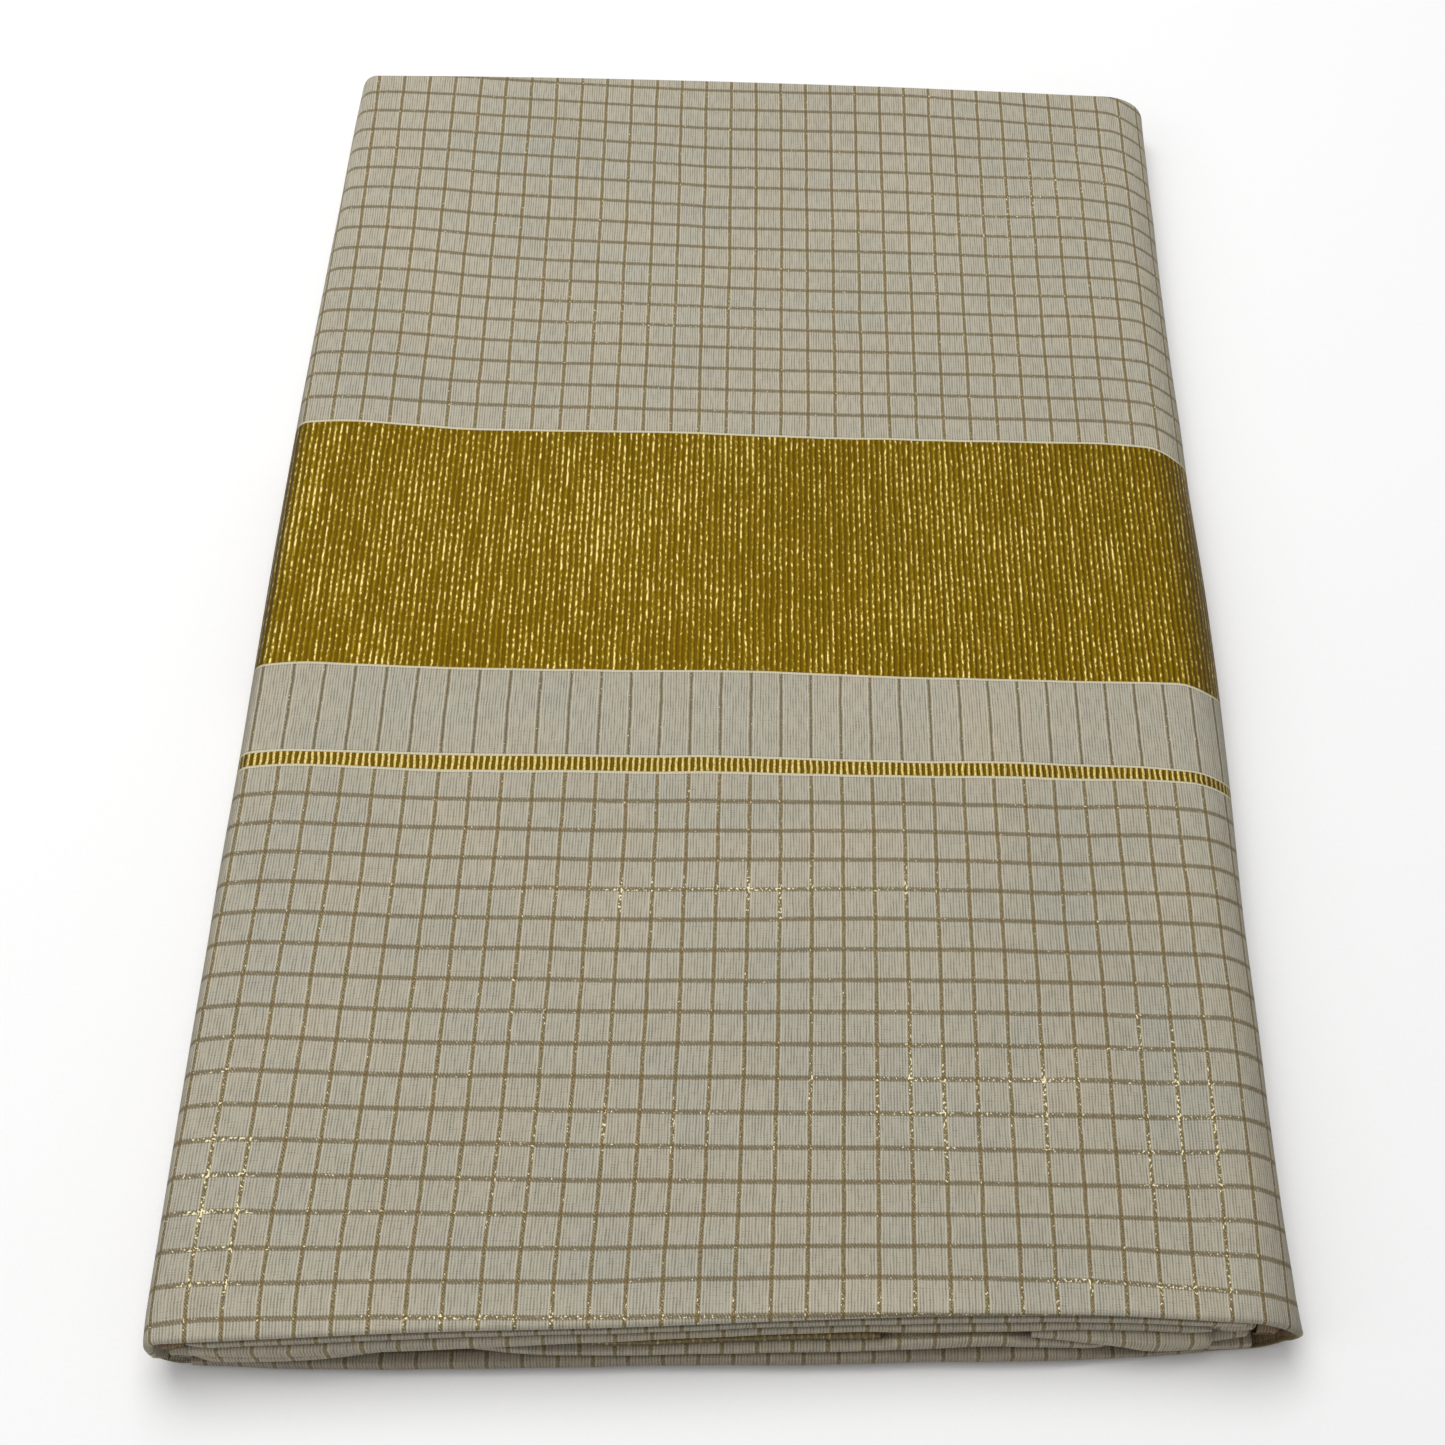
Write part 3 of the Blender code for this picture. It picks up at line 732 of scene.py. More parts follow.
def fold_form(x, low, high, front, back, outward):
    """Two legs and a pressed nose between given heights. The nose is half of a
    superellipse: y = front - outward * r * (1 - cos(a)^p), z = middle + r * sin(a)^p,
    and p is PRESSED."""
    radius = (high - low) / 2
    cos, sin = np.cos(NOSE_ANGLES), np.sin(NOSE_ANGLES)
    nose_y = (front - outward * radius)[:, None]
    level = np.sign(sin) * np.abs(sin) ** PRESSED
    nose_y = nose_y + outward * radius[:, None] * np.abs(cos) ** PRESSED
    nose_z = (low + radius)[:, None] + radius[:, None] * level
    y = with_legs(nose_y, back[:, None])
    legs = np.ones(len(LEG_STEPS))
    z = np.concatenate([high[:, None] * legs, nose_z, low[:, None] * legs], axis=1)
    return np.stack([np.broadcast_to(x[:, None], y.shape), y, z], axis=-1)


def fold_grid(name, outward, wave, further):
    """The fold on one solid, with a ripple in its front edge: the product of a wave of
    37 mm and one of 91 mm. further is how far its right end slipped out past the solid."""
    places, low, high, front = stations(name, outward)
    count = int((places[-1] - places[0]) / FOLD_SPACING) + 2
    x = np.linspace(places[0], places[-1], count)
    low, high, front = (smooth(places, column, x) for column in (low, high, front))
    short = np.sin(wave + 2 * np.pi * x / (37 * MM))
    long = np.cos(2.1 * wave + 2 * np.pi * x / (91 * MM))
    front = front - outward * RIPPLE * (1 + short * long)
    back = follow(ENDS, "near" if outward < 0 else "far", x) - outward * FOLD_REACH
    x = x + further * ease((x - x[-1]) / SLIP_LENGTH + 1)
    return fold_form(x, low, high, front, back, outward)


def fold_weave(points, end_y, shift, drift, thread):
    """Place in the weave: across, the top's own count at that end plus a shift that may
    drift, as each layer slipped a little. Along, the cloth's length from the nose."""
    x = points[..., 0] - MIDDLE[0]
    u = warp_count(x, np.full_like(x, end_y)) + shift + drift * x / MM
    along = run(points, 1) / PITCH_ALONG
    nose = points.shape[1] // 2
    v = thread + along - along[:, nose:nose + 1]
    return np.stack([u, v], axis=-1)


# %% Near and far folds
# shift and drift place the gold dashes of each nose, thread the count at the nose
Layer = namedtuple("Layer", "node outward shift drift thread slot rests_on")
LAYERS = chart(
    Layer,
    ("near_fold_upper", -1, 0.42, 0.0, -40.45, "inner_cotton", "near_middle_cloth"),
    ("near_fold_middle", -1, 0.27, 0.0007, -43.4, "inner_cotton", "near_lower_cloth"),
    ("near_fold_lower", -1, 0.32, 0.0013, -47.55, "inner_cotton", "near_bottom_cloth"),
    ("near_kasavu_layer", -1, 0.1, 0.0, 7.0, "gold_kasavu", "near_lower_cloth"),
    ("near_fold_right", -1, -0.03, 0.0, -51.3, "inner_cotton", "near_bottom_cloth"),
    ("near_fold_bottom", -1, -0.02, 0.002, -54.4, "inner_cotton", "outer_cloth"),
    ("far_fold_upper", 1, 0.3, 0.0004, -60.4, "inner_cotton", "far_middle_cloth"),
    ("far_fold_middle", 1, -0.2, 0.001, -63.5, "inner_cotton", "far_lower_cloth"),
    ("far_fold_lower", 1, 0.1, -0.0008, -67.4, "inner_cotton", "far_bottom_cloth"),
    ("far_fold_bottom", 1, -0.4, 0.0006, -71.5, "inner_cotton", "outer_cloth"),
)
KASAVU_BACK = 0.1 * MM
SLIPPED = {"near_fold_middle": 2.5, "near_fold_right": 2.8}
NEAR_END, FAR_END = -240 * MM, 244 * MM
WAVE_STEP = 1.7


def cloth_name(node):
    return node.replace("_fold_", "_").replace("_layer", "") + "_cloth"


for number, layer in enumerate(LAYERS):
    further = SLIPPED.get(layer.node, 0) * MM
    grid = fold_grid(layer.node, layer.outward, WAVE_STEP * number, further)
    end_y = NEAR_END if layer.outward < 0 else FAR_END
    weave = fold_weave(grid, end_y, layer.shift, layer.drift, layer.thread)
    if layer.slot == "gold_kasavu":
        grid = grid + np.array([0, KASAVU_BACK, 0])
    cloth_piece(
        cloth_name(layer.node), grid, weave, (layer.node,),
        turn_over=layer.outward < 0,
    )

# %% [markdown]
# ## The layers that turn back at the sides
# Beside the folds, the ends of inner layers are tucked in: they turn back both at the side
# and at the front, so each looks like a small flat pillow whose far end is out of sight. A
# plain tube would show its hollow end. Here the half thickness of the tube runs up from
# almost nothing at the front along a quarter circle, and one function makes all five.

# %% Tucked layers
# The front rows start almost closed, with the nose a little further in. The body's rows
# cover the reach less BODY_SHORT half thicknesses. A small wave crumples the front.
FRONT_START = 0.12
FRONT_ROWS = 7
BODY_ROWS = 9
NOSE_IN = 0.3
BODY_SHORT = 1.1
TUCK_WAVE = 0.35 * MM
TUCK_WAVE_LENGTH = 2.6 * MM
TUCK_THREAD = -20.6


def tucked_grid(nose, legs, low, high, start, reach, lean):
    """Two legs and a round nose across the pack, x = nose - side * r * (1 - cos a),
    z = middle + h * sin a, where the half thickness h = r * sin b grows from the front,
    y = front + r * (1 - cos b), and stays r from there on. The front leans in towards the
    nose."""
    outward = np.sign(nose - legs)
    radius = (high - low) / 2
    turn = np.linspace(FRONT_START, np.pi / 2, FRONT_ROWS)[:, None]
    thick = np.concatenate([np.sin(turn), np.ones((BODY_ROWS, 1))])
    nose_turn = 1 - np.cos(NOSE_ANGLES) * thick - (1 - thick) * NOSE_IN
    x = with_legs(nose - outward * radius * nose_turn, legs)
    leg_level = np.ones(len(LEG_STEPS))
    level = np.concatenate([leg_level, np.sin(NOSE_ANGLES), -leg_level])
    z = low + radius + radius * thick * level
    inward = np.linspace(0, reach - BODY_SHORT * radius, BODY_ROWS + 1)[1:, None]
    y = np.concatenate([radius * (1 - np.cos(turn)), radius + inward])
    wave = TUCK_WAVE * np.sin(x / TUCK_WAVE_LENGTH + low / MM)
    y = follow(ENDS, "near", x) + start + lean * (x - legs) / (nose - legs) + y + wave
    return np.stack([x, y, z], axis=-1)


# In millimetres. lean is how much further in the nose's side starts than the legs' side.
# A layer with solid 1 lies on a solid of its name, and the others have none of their own.
Tuck = namedtuple("Tuck", "name solid nose legs low high start reach lean shift")
TUCKS = chart(
    Tuck,
    ("near_curl_left", 1, -149.8, -142.2, 1.8, 10.4, 0.8, 28, 0.0, 0.3),
    ("near_curl_right_upper", 1, 140.6, 126.2, 9.8, 15.7, 0.2, 28, 0.3, 0.6),
    ("near_curl_right_lower", 1, 139.6, 126.8, 4.9, 9.5, -1.1, 29, 1.4, 0.1),
    ("near_tuck_left", 0, -149.8, -141.8, 11.2, 15.8, 0.9, 24, 0.0, 0.7),
    ("near_tuck_right", 0, 148.5, 140.9, 3.4, 13.5, 0.7, 24, 0.6, 0.4),
)
for tuck in TUCKS:
    grid = tucked_grid(*(size * MM for size in tuck[2:9]))
    across = tuck.shift + run(grid, 1) / PITCH_ACROSS
    weave = np.stack([across, TUCK_THREAD + run(grid, 0) / PITCH_ALONG], axis=-1)
    cloth_piece(
        cloth_name(tuck.name), grid, weave, (tuck.name,) if tuck.solid else (),
        turn_over=tuck.nose > 0,
    )

# The lip: the edge of one more layer that lies on the cloth underneath, at the right
Lip = namedtuple("Lip", "place high proud")
LIP = chart(
    Lip,
    (116, 3.4, 0.7),
    (124, 4.3, 2.0),
    (131, 4.4, 1.7),
    (138, 4.5, 1.0),
    (140.7, 4.3, 0.6),
)
LIP_REACH = 4.4 * MM
LIP_LOW = 1.2 * MM
LIP_SHIFT = 0.35
LIP_THREAD = -33.35
lip_x = np.linspace(LIP[0].place * MM, LIP[-1].place * MM, 22)
lip_high = follow(LIP, "high", lip_x)
lip_front = follow(ENDS, "near", lip_x) - follow(LIP, "proud", lip_x)
lip_low, lip_back = np.full_like(lip_x, LIP_LOW), lip_front + LIP_REACH
grid = fold_form(lip_x, lip_low, lip_high, lip_front, lip_back, -1)
weave = fold_weave(grid, NEAR_END, LIP_SHIFT, 0.0, LIP_THREAD)
cloth_piece("near_lip_cloth", grid, weave, (), turn_over=True)

# %% [markdown]
# ## The layers inside
# Deep inside, the rest of the cloth lies in close layers that nobody can tell apart. They
# stay one rounded body, as in the frame, with a fine ridge along its sides for every
# layer. Only its edge can be glimpsed between the folds.

# %% Inner layers
STACK_START = 34 * MM
STACK_DEPTH = 1.9 * MM
STACK_FLOOR = 1.9 * MM
STACK_ROWS = 28
STACK_THREAD = -30
FINE_LAYERS = 24
RIDGE = 0.5 * MM
RIDGE_COLUMNS = 6 * FINE_LAYERS
# The rounded edge at each end: how far in and how far down its rows lie
EDGE_IN = np.array([0, 0.4, 0.9, 1.2]) * MM
EDGE_DOWN = np.array([1.2, 0.5, 0.1, 0]) * MM

climb = np.linspace(0, 1, RIDGE_COLUMNS + 1)
across_top = np.linspace(0, 1, 40)[1:-1]
# The floor's last column stays just short of the first one, which it meets
stack_ring = np.concatenate([-1 + climb, across_top, 1 + climb, 2 + across_top * 0.99])
side = np.concatenate([climb, 0 * across_top, climb, 0 * across_top])
ridge = RIDGE * np.abs(np.sin(np.pi * FINE_LAYERS * side))
stack_share = np.concatenate([[0] * 3, np.linspace(0, 1, STACK_ROWS + 2), [1] * 3])
level_rows = np.zeros(STACK_ROWS)
edge_inset = EDGE_IN + STACK_START
stack_inset = np.concatenate([edge_inset, level_rows, edge_inset[::-1]])
stack_rounding = np.concatenate([EDGE_DOWN, level_rows, EDGE_DOWN[::-1]])
stack_depth = STACK_DEPTH + ridge[None] + stack_rounding[:, None]
stack = wrap(stack_ring[None], stack_share[:, None], stack_inset[:, None], stack_depth)
stack[..., 2] = np.clip(stack[..., 2], STACK_FLOOR, None)
rows, columns = stack.shape[:2]
index = np.arange(rows * columns).reshape(rows, columns)
after = np.roll(index, -1, axis=1)
faces = np.stack((index[:-1], after[:-1], after[1:], index[1:]), axis=-1).reshape(-1, 4)
caps = [index[0][::-1].tolist(), index[-1].tolist()]
places = [run(stack, 1) / PITCH_ACROSS, run(stack, 0) / PITCH_ALONG + STACK_THREAD]
stack_mesh = woven_mesh("inner_layers", stack, faces, np.stack(places, axis=-1), caps)
inner_layers = add("inner_layers", stack_mesh)
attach(inner_layers, "root")
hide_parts("hidden_layers")
print("inner layers:", len(faces), "faces")

# %% [markdown]
# ## Writing shader maths as Python
# A weave is a sum of many small waves, which takes hundreds of Math nodes. Wiring them by
# hand hides the formula. A small class wraps a socket, so that plain arithmetic on
# signals adds the nodes, and the formula stays readable.


# %% Signals and finishes
class Signal:
    """A value that varies over a surface. Arithmetic on it adds Math nodes."""

    def __init__(self, finish, socket):
        self.finish = finish
        self.socket = socket

    def math(self, operation, *values):
        sockets = dict(enumerate((self, *values)))
        return self.finish.node("ShaderNodeMath", {"operation": operation}, sockets)

    __add__ = __radd__ = partialmethod(math, "ADD")
    __sub__ = partialmethod(math, "SUBTRACT")
    __mul__ = __rmul__ = partialmethod(math, "MULTIPLY")
    cos = partialmethod(math, "COSINE")
    size = partialmethod(math, "ABSOLUTE")
    most = partialmethod(math, "MAXIMUM")
    least = partialmethod(math, "MINIMUM")

    def __rsub__(self, other):
        return self.finish.node("ShaderNodeMath", {"operation": "SUBTRACT"}, {0: other, 1: self})

    def wave(self):
        """0 to 1 and back once for every whole number, highest at the whole numbers."""
        return (self * (2 * np.pi)).cos() * 0.5 + 0.5

    def from_line(self):
        """Distance to the nearest whole number, from -0.5 to 0.5."""
        return (self + 0.5).math("FRACT") - 0.5

    def rise(self, low, high):
        """Smooth step: 0 up to low, 1 from high on."""
        settings = {"interpolation_type": "SMOOTHSTEP"}
        sockets = {"Value": self, "From Min": low, "From Max": high}
        return self.finish.node("ShaderNodeMapRange", settings, sockets)

    def within(self, low, high, soft):
        """1 between low and high, with soft edges."""
        return self.rise(low - soft, low + soft) * (1 - self.rise(high - soft, high + soft))


class Finish:
    """A material on one shader. node() adds any node: its settings come first, then its
    sockets get numbers, colours or links."""

    def __init__(self, name):
        self.material = bpy.data.materials.new(name)
        self.material.use_nodes = True
        self.tree = self.material.node_tree
        self.shader = self.tree.nodes["Principled BSDF"]

    def connect(self, node, sockets):
        for name, value in sockets.items():
            if isinstance(value, Signal):
                self.tree.links.new(value.socket, node.inputs[name])
            else:
                node.inputs[name].default_value = value

    def node(self, kind, settings=None, sockets=None, output=0):
        made = self.tree.nodes.new(kind)
        for name, value in (settings or {}).items():
            setattr(made, name, value)
        self.connect(made, sockets or {})
        return Signal(self, made.outputs[output])

    def mix(self, factor, first, second):
        sockets = {0: factor, 6: first, 7: second}
        return self.node("ShaderNodeMix", {"data_type": "RGBA"}, sockets, output=2)

    def scaled(self, value, factor):
        settings = {"operation": "SCALE"}
        return self.node("ShaderNodeVectorMath", settings, {0: value, "Scale": factor})

    def attribute(self, name):
        return self.node("ShaderNodeAttribute", {"attribute_name": name}, output=2)

    def noise(self, x, y, detail=1.0, apart=0.0):
        """Smooth noise around 0.5, with one soft cell for every whole number. apart moves
        it, so that two noises of the same size differ."""
        place = self.node("ShaderNodeCombineXYZ", None, {"X": x, "Y": y + apart})
        sockets = {"Vector": place, "Scale": 1.0, "Detail": detail}
        return self.node("ShaderNodeTexNoise", {"noise_dimensions": "2D"}, sockets)


def colour(red, green, blue):
    """A colour as seen on a screen, 0 to 255, as the linear light that shaders use."""
    seen = np.array([red, green, blue]) / 255
    linear = np.where(seen <= 0.04045, seen / 12.92, ((seen + 0.055) / 1.055) ** 2.4)
    return (*(float(v) for v in linear), 1.0)


# %% [markdown]
# ## The check cotton
# The cotton is a loose plain weave. Its warp threads lie in fine ribs, about eleven to a
# check, unevenly beaten, so light threads alternate with grey gaps. Every check is
# framed by zari: a cotton core wound with thin gold metal, which reads as brown with a
# diagonal twist and catches the light in clusters of sparks. An image could hold this, but
# it would blur close up. Waves counted in checks stay sharp at any distance.

# %% Cotton, zari lines, band and stripe
RIBS = 11
PICKS = 13
TWISTS = 10
LINE_HALF = 0.058
WEFT_HALF = 0.082
BAND = (5.0, 15.0)
STRIPE = (1.0, 1.5)
# No weft lines cross the first stretch, and the warp lines are finer in the second
NO_WEFT_LINES = (0.5, 15.5)
BETWEEN = (1.6, 4.9)
BAND_RIBS = 5
STRIPE_BARS = 5
# The cream edge of the band and stripe and its dark line, in checks past the edge
BAND_SOFT = 0.012
EDGE_PLACE, EDGE_HALF = 0.045, 0.04
SHADE_PLACE, SHADE_HALF = 0.1, 0.015

CREAM_WARM = colour(165, 155, 135)
CREAM_COOL = colour(158, 156, 143)
PAINTED_SHADE_BROWN = colour(112, 84, 52)
ZARI_BROWN = colour(92, 81, 57)
ZARI_GOLD = colour(176, 156, 110)
ZARI_SPARK = colour(250, 240, 196)
CROSSING_GOLD = colour(116, 92, 46)
WEFT_BROWN = colour(101, 88, 60)
SELVEDGE = colour(206, 197, 168)
BAND_DARK = colour(97, 74, 0)
BAND_GOLD = colour(159, 131, 12)
BAND_SPARK = colour(240, 220, 144)


def check_cotton(
    name, tone, zari_shade, spots=False, gold_ribs=0.0, shade_brown=0.0, clear=0.92, ragged=0.0,
    faded=0.0,
):
    """Check cotton of one tone, where a tone below 1 is painted shade. Spots are the outer
    cloth's own tone, painted light and shade, and painted glints, gold ribs the strength of
    the band's ribs, 0 where it has no band, and the shade brown the share of painted brown
    shade for cloth deep in the pack, standing in for the light that comes through the
    layers. The zari factor darkens the gold lines as painted shade, clear is how strongly
    the gold lines show, ragged how broken they are, and the fade the share of cotton colour
    mixed into the band's gold as painted shade."""
    f = Finish(name)
    uv = f.node("ShaderNodeUVMap", {"uv_map": "weave"})
    u, v = (f.node("ShaderNodeSeparateXYZ", None, {"Vector": uv}, output) for output in (0, 1))
    slow = f.noise(u * 0.4, v * 0.45) - 0.5
    quick = f.noise(u * 3, v * 2.2, 2.0) - 0.5
    u = u + slow * 0.05 + quick * 0.025
    v = v + slow * 0.05 - quick * 0.012

    # Which part of the cloth this is
    patterned = gold_ribs > 0
    if patterned:
        band = v.within(*BAND, BAND_SOFT)
        stripe = v.within(*STRIPE, BAND_SOFT)
        gold = band + stripe
        cotton = 1 - gold
        checks = 1 - v.within(*NO_WEFT_LINES, 0.05)
        between = v.within(*BETWEEN, 0.1)
    else:
        cotton, checks, between = 1.0, 1.0, 0.0

    # Cotton ribs and picks, each of its own strength
    rib = (u * RIBS + quick * 0.2).wave()
    rib_strength = f.noise(u * RIBS * 0.9, v * 1.5).rise(0.3, 0.7)
    gap = (1 - rib) * (0.5 + 0.5 * rib_strength)
    pick = (v * PICKS + quick * 1.2).wave()
    weave_noise = f.noise(u * 3.2, v * PICKS * 0.7, 2.0, apart=5.0)
    grain = f.noise(u * 40, v * 34, 0.0)
    patch = f.noise(u * 0.2, v * 0.16, 3.0, apart=2.0)
    light = 1.35 - 0.66 * gap - 0.25 * pick * weave_noise.rise(0.42, 0.72)
    light = light + (weave_noise - 0.5) * 0.2 + (grain - 0.5) * 0.26 + (patch - 0.5) * 0.16
    tint = (patch - 0.5) * 2 - slow * 2 + 0.5
    cream = f.mix(tint.rise(-1.8, 2.8), CREAM_COOL, CREAM_WARM)
    # Painted shade: brown mixed into cloth that lies in shade deep in the pack
    if shade_brown:
        cream = f.mix(shade_brown, cream, PAINTED_SHADE_BROWN)
    # A tone below 1 darkens a copy that lies in shade: painted shade
    own_tone_and_shade = f.attribute("tone") if spots else tone
    cream = f.scaled(cream, light * (1.0 if patterned else tone))

    # Gold lines of the check
    across, along = u.from_line(), v.from_line()
    fleck = f.noise(u * 21, v * 15, 1.0, apart=17.0)
    frayed = (fleck - 0.5) * (0.05 + ragged)
    line_half = LINE_HALF - 0.02 * between + frayed
    warp_line = 1 - across.size().rise(line_half - 0.018, line_half + 0.014)
    pale_edge = across.size().within(0.085, 0.125, 0.014)
    beads = (u * RIBS + along * 7).wave()
    weft_half = WEFT_HALF + frayed - 0.012 * (1 - beads)
    weft_line = (1 - along.size().rise(weft_half - 0.026, weft_half + 0.02)) * checks
    twist = (v * TWISTS + across * 12 + slow * 3).wave()
    lit = twist * 0.5 + (fleck - 0.5) * 1.4
    zari = f.mix(lit.rise(-0.2, 1.0), ZARI_BROWN, ZARI_GOLD)
    weft_zari = f.mix(fleck.rise(0.5, 0.8) * 0.6, WEFT_BROWN, ZARI_GOLD)
    crossing = warp_line * (1 - along.size().rise(0.03, 0.09)) * checks * cotton
    zari = f.mix(0.6 * crossing, zari, CROSSING_GOLD)
    look = f.scaled(cream, 1 + 0.14 * pale_edge * cotton)
    # In the shaded copies the gold lines are darkened as painted shade
    weft_zari = f.scaled(weft_zari, zari_shade)
    look = f.mix(weft_line * (0.55 + 0.38 * beads) * cotton * clear, look, weft_zari)
    zari = f.scaled(zari, zari_shade * (1 - 0.25 * between))
    look = f.mix(warp_line * cotton * clear, look, zari)
    line = warp_line.most(weft_line * 0.8) * cotton
    metal = line * 0.3
    height = (rib * 0.4 + grain * 0.3) * cotton + line * (0.5 + 0.5 * twist)

    if spots:
        # Painted sparks of light, gathered where the thread stands towards the light
        glint = f.attribute("glint")
        flash = f.noise(u * 13, v * 11, 1.0, apart=23.0)
        gathered = glint + 0.3 * crossing
        spark = flash.rise(0.76 - 0.17 * gathered, 0.8 - 0.15 * gathered)
        core = 1 - across.size().least(along.size() + (1 - checks)).rise(0.035, 0.065)
        spark = spark * core * cotton
        look = f.mix(spark, look, ZARI_SPARK)
    else:
        glint = 0.0
    if patterned:
        # Cream edges of the band and stripe, with a thin dark line inside
        for place, side in ((BAND[0], -1), (BAND[1], 1), (STRIPE[0], -1), (STRIPE[1], 1)):
            centre = place + side * EDGE_PLACE
            edge = v.within(centre - EDGE_HALF, centre + EDGE_HALF, BAND_SOFT)
            centre = place + side * SHADE_PLACE
            shade = v.within(centre - SHADE_HALF, centre + SHADE_HALF, BAND_SOFT)
            look = f.scaled(look, 1 - 0.25 * shade)
            look = f.mix(edge * (0.7 + 0.3 * rib), look, SELVEDGE)
            metal = metal * (1 - edge)
        # Gold ribs of the band: each is brighter for a stretch, and broken into specks; the bright
        # stretches and specks are painted glints
        wavy = (f.noise(u * 0.8, v * 0.9, 1.0, apart=29.0) - 0.5) * 0.15
        gold_rib = u * BAND_RIBS + wavy
        crest = gold_rib.wave()
        streak = f.noise(u * BAND_RIBS * 0.9, v * 0.45, 1.0, apart=31.0) - 0.5
        broad = f.noise(u * 0.2, v * 0.22, 1.0, apart=41.0) - 0.5
        specks = f.noise(u * BAND_RIBS * 2.2, v * 5.0, 2.0, apart=37.0)
        brighter = streak * 1.2 + broad * 0.3 + 0.4 * glint - 0.12
        strength = crest * gold_ribs + (0.5 - gold_ribs) / 2 + (specks - 0.5) * 0.6
        gilt = f.mix((strength + brighter * 0.4).rise(-0.1, 1.0), BAND_DARK, BAND_GOLD)
        painted_band_glint = specks.rise(0.46 - 0.3 * brighter, 0.70 - 0.3 * brighter)
        gilt = f.mix(painted_band_glint * crest.rise(0.55, 1.0) * 0.9, gilt, BAND_SPARK)
        bars = (u * STRIPE_BARS + quick * 0.3).wave().rise(0.45, 0.85)
        bars = bars * (0.5 + 0.5 * fleck.rise(0.35, 0.6))
        bar_gilt = f.mix(bars * 0.68, BAND_DARK, BAND_SPARK)
        # Painted shade: the shaded kasavu layer's gold is faded towards the cotton
        if faded:
            gilt = f.mix(faded, gilt, cream)
        look = f.mix(band, look, gilt)
        look = f.mix(stripe, look, bar_gilt)
        # Painted light and shade of the tone spots, or the painted shade of a shaded copy, over
        # all of it
        look = f.scaled(look, own_tone_and_shade)
        metal = metal + gold * 0.75
        height = height + gold * crest * 1.4

    bump = f.node("ShaderNodeBump", None, {"Strength": 0.4, "Distance": 0.0004, "Height": height})
    f.connect(f.shader, {
        "Base Color": look,
        "Metallic": metal,
        "Roughness": 0.9 - 0.45 * metal,
        "Normal": bump,
        "Specular IOR Level": 0.12,
        "Sheen Weight": 0.02,
        "Sheen Roughness": 0.5,
    })
    return f.material


# Besides the outer cloth, these finishes are copies of the same cotton, darker and browner with
# painted shade for the pieces that lie in shade at the ends and inside the pack
outer_finish = check_cotton("check_cotton_finish", 1.0, 1.0, spots=True, gold_ribs=0.65)
shaded_inside_finish = check_cotton("inside_cotton_finish", 0.95, 0.8, shade_brown=0.75)
shaded_inner_finish = check_cotton("inner_cotton_finish", 0.98, 1.0, shade_brown=0.12, clear=0.84, ragged=0.07)
shaded_low_finish = check_cotton("low_cotton_finish", 0.78, 0.7, shade_brown=0.25, clear=0.84, ragged=0.07)
shaded_deep_finish = check_cotton("deep_cotton_finish", 0.6, 0.6, shade_brown=0.85)
shaded_kasavu_finish = check_cotton("kasavu_layer_finish", 0.85, 0.7, gold_ribs=0.3, faded=0.3)
# The outer cloth's inner faces get the inside copy, brown with painted shade
outer_cloth.modifiers["thickness"].material_offset = 1
outer_cloth.data.materials.append(outer_finish)
outer_cloth.data.materials.append(shaded_inside_finish)
# Past its nose the cloth is turned under, and only its shaded side can be seen there, so it gets
# the inside copy with its painted shade
SHADED_FROM = -0.42
hem_columns = len(hem_inset) + NOSE_STEPS // 2 - 1
columns = outer.shape[1] - 1
face_row, face_column = np.divmod(np.arange((len(ring) - 1) * columns), columns)
under_turn = (face_column < hem_columns) | (face_column >= columns - hem_columns)
under_turn = under_turn & (ring[face_row, 0] > SHADED_FROM)
outer_cloth.data.polygons.foreach_set("material_index", under_turn.astype(np.int32))
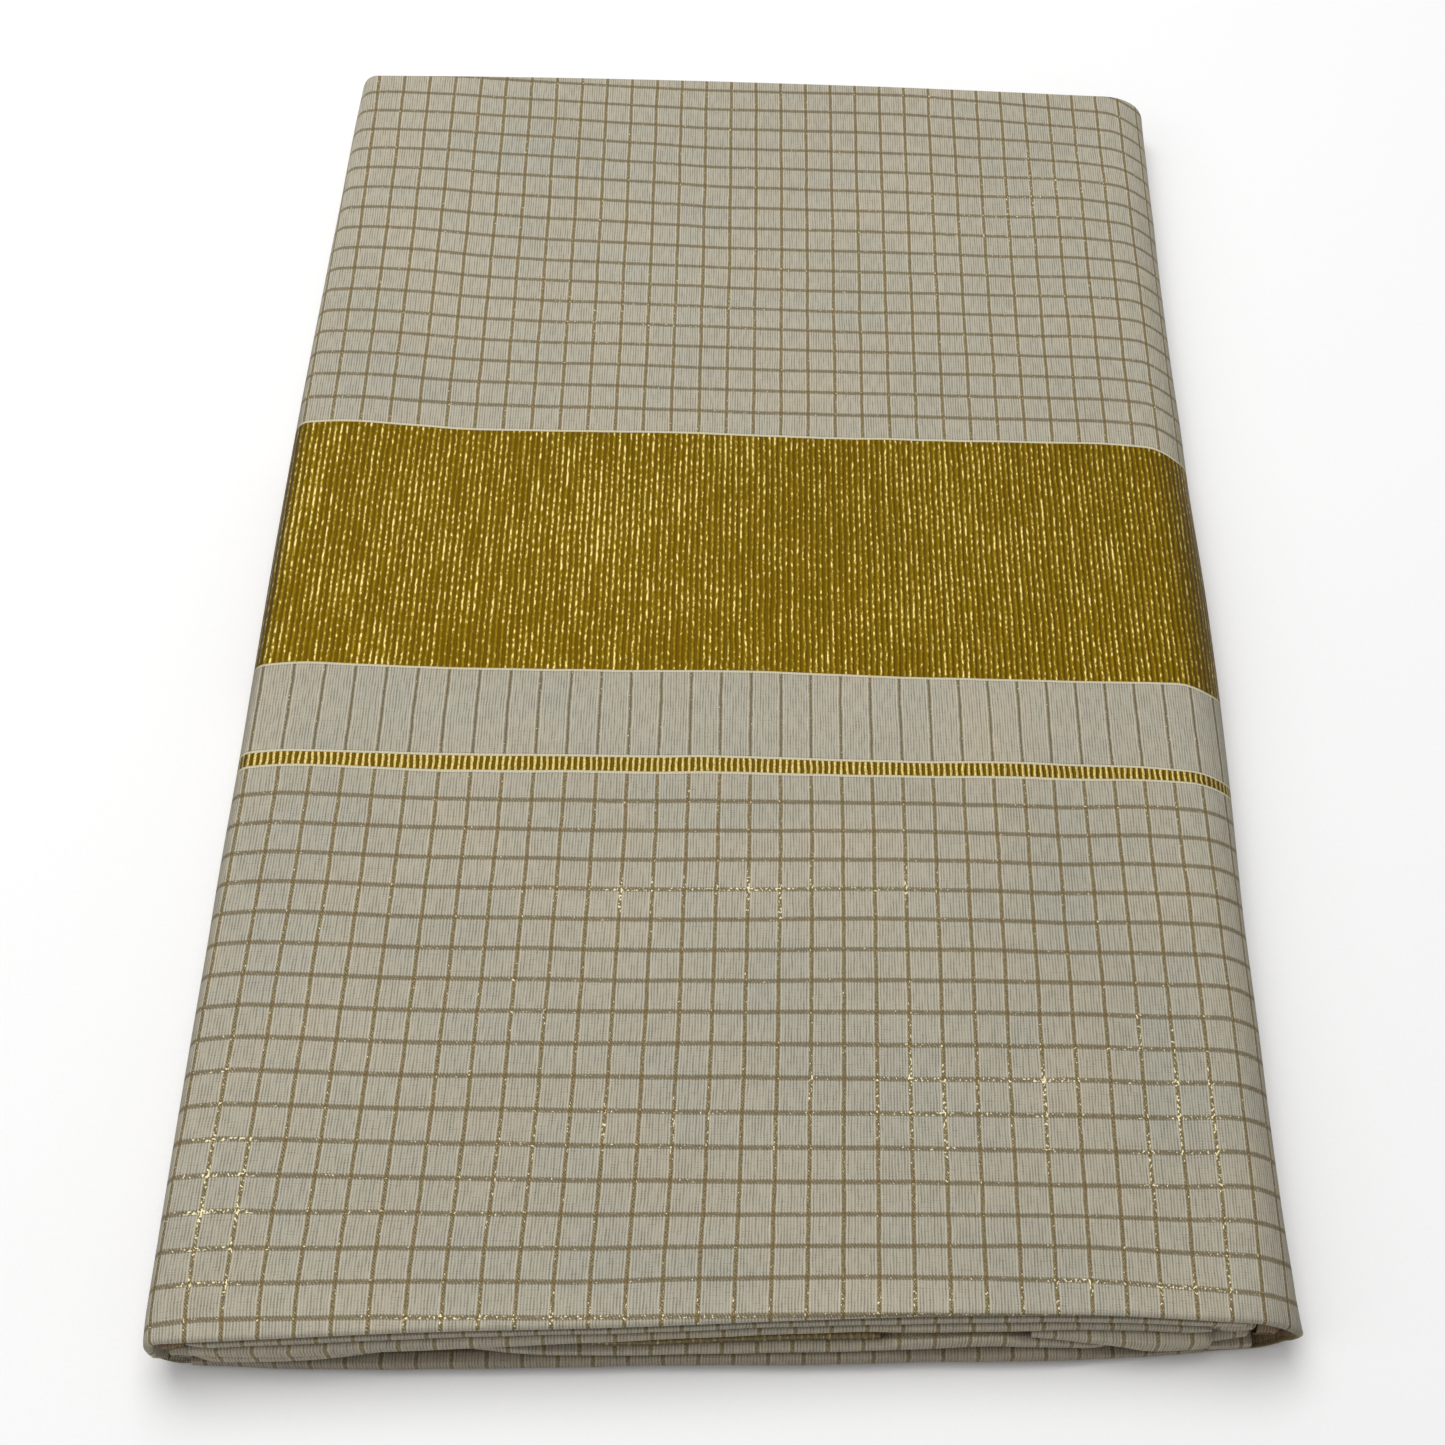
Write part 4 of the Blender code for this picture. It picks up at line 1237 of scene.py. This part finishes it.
# Pieces in shade get the darker copies, all painted shade: the tucked layers the brown inside one,
# the lowest folds the low one and the inner layers the deep one
OTHER_FINISHES = {
    "near_kasavu_cloth": shaded_kasavu_finish,
    "near_bottom_cloth": shaded_low_finish,
    "far_bottom_cloth": shaded_low_finish,
    "near_tuck_left_cloth": shaded_inside_finish,
    "near_tuck_right_cloth": shaded_inside_finish,
}
for piece in cloth_pieces[1:]:
    piece.data.materials.append(OTHER_FINISHES.get(piece.name, shaded_inner_finish))
inner_layers.data.materials.append(shaded_deep_finish)
for finish in (outer_finish, shaded_inner_finish):
    print(finish.name, "has", len(finish.node_tree.nodes), "nodes")

# %% [markdown]
# ## Floor and light
# The pack lies on a plain pale floor under a large soft light that stands high behind it,
# so the top is even and bright, and the near end lies in its own soft shade. Small lamps
# would draw hard shadows of every crease.

# %% Floor, lamps and colour
FLOOR_REACH = 4.0
FLOOR_HEIGHT = -0.2 * MM
PALE, PALER = (0.90, 0.90, 0.90, 1), (0.93, 0.93, 0.93, 1)
ROOM_LIGHT = 0.38

floor_mesh = bpy.data.meshes.new("floor")
signs = ((-1, -1), (1, -1), (1, 1), (-1, 1))
floor_places = [(x * FLOOR_REACH, y * FLOOR_REACH, FLOOR_HEIGHT) for x, y in signs]
floor_mesh.from_pydata(floor_places, [], [(0, 1, 2, 3)])
floor = add("floor", floor_mesh)
paper = Finish("floor_paper")
spot = paper.node("ShaderNodeTexCoord", None, None, output=3)
fibre = paper.node("ShaderNodeTexNoise", None, {"Vector": spot, "Scale": 900.0, "Detail": 2.0})
paper.connect(paper.shader, {
    "Base Color": paper.mix(fibre, PALE, PALER),
    "Roughness": 0.9,
    "Specular IOR Level": 0.1,
})
floor_mesh.materials.append(paper.material)

Lamp = namedtuple("Lamp", "name place size power")
LAMPS = chart(
    Lamp,
    ("soft_light_high", (-0.25, 0.55, 1.7), 1.6, 27.0),
    ("soft_light_left", (-1.3, -0.5, 1.1), 1.0, 4.0),
)
for lamp in LAMPS:
    data = bpy.data.lights.new(lamp.name, "AREA")
    data.shape = "SQUARE"
    data.size = lamp.size
    data.energy = lamp.power
    aim = -Vector(lamp.place)
    facing = aim.to_track_quat("-Z", "Y").to_matrix().to_4x4()
    made = add(lamp.name, data)
    made.matrix_world = Matrix.Translation(lamp.place) @ facing

world = bpy.data.worlds.new("pale_room")
world.use_nodes = True
background = world.node_tree.nodes["Background"].inputs
background["Color"].default_value = (1, 1, 1, 1)
background["Strength"].default_value = ROOM_LIGHT
scene.world = world
bpy.context.scene.view_settings.view_transform = "Standard"
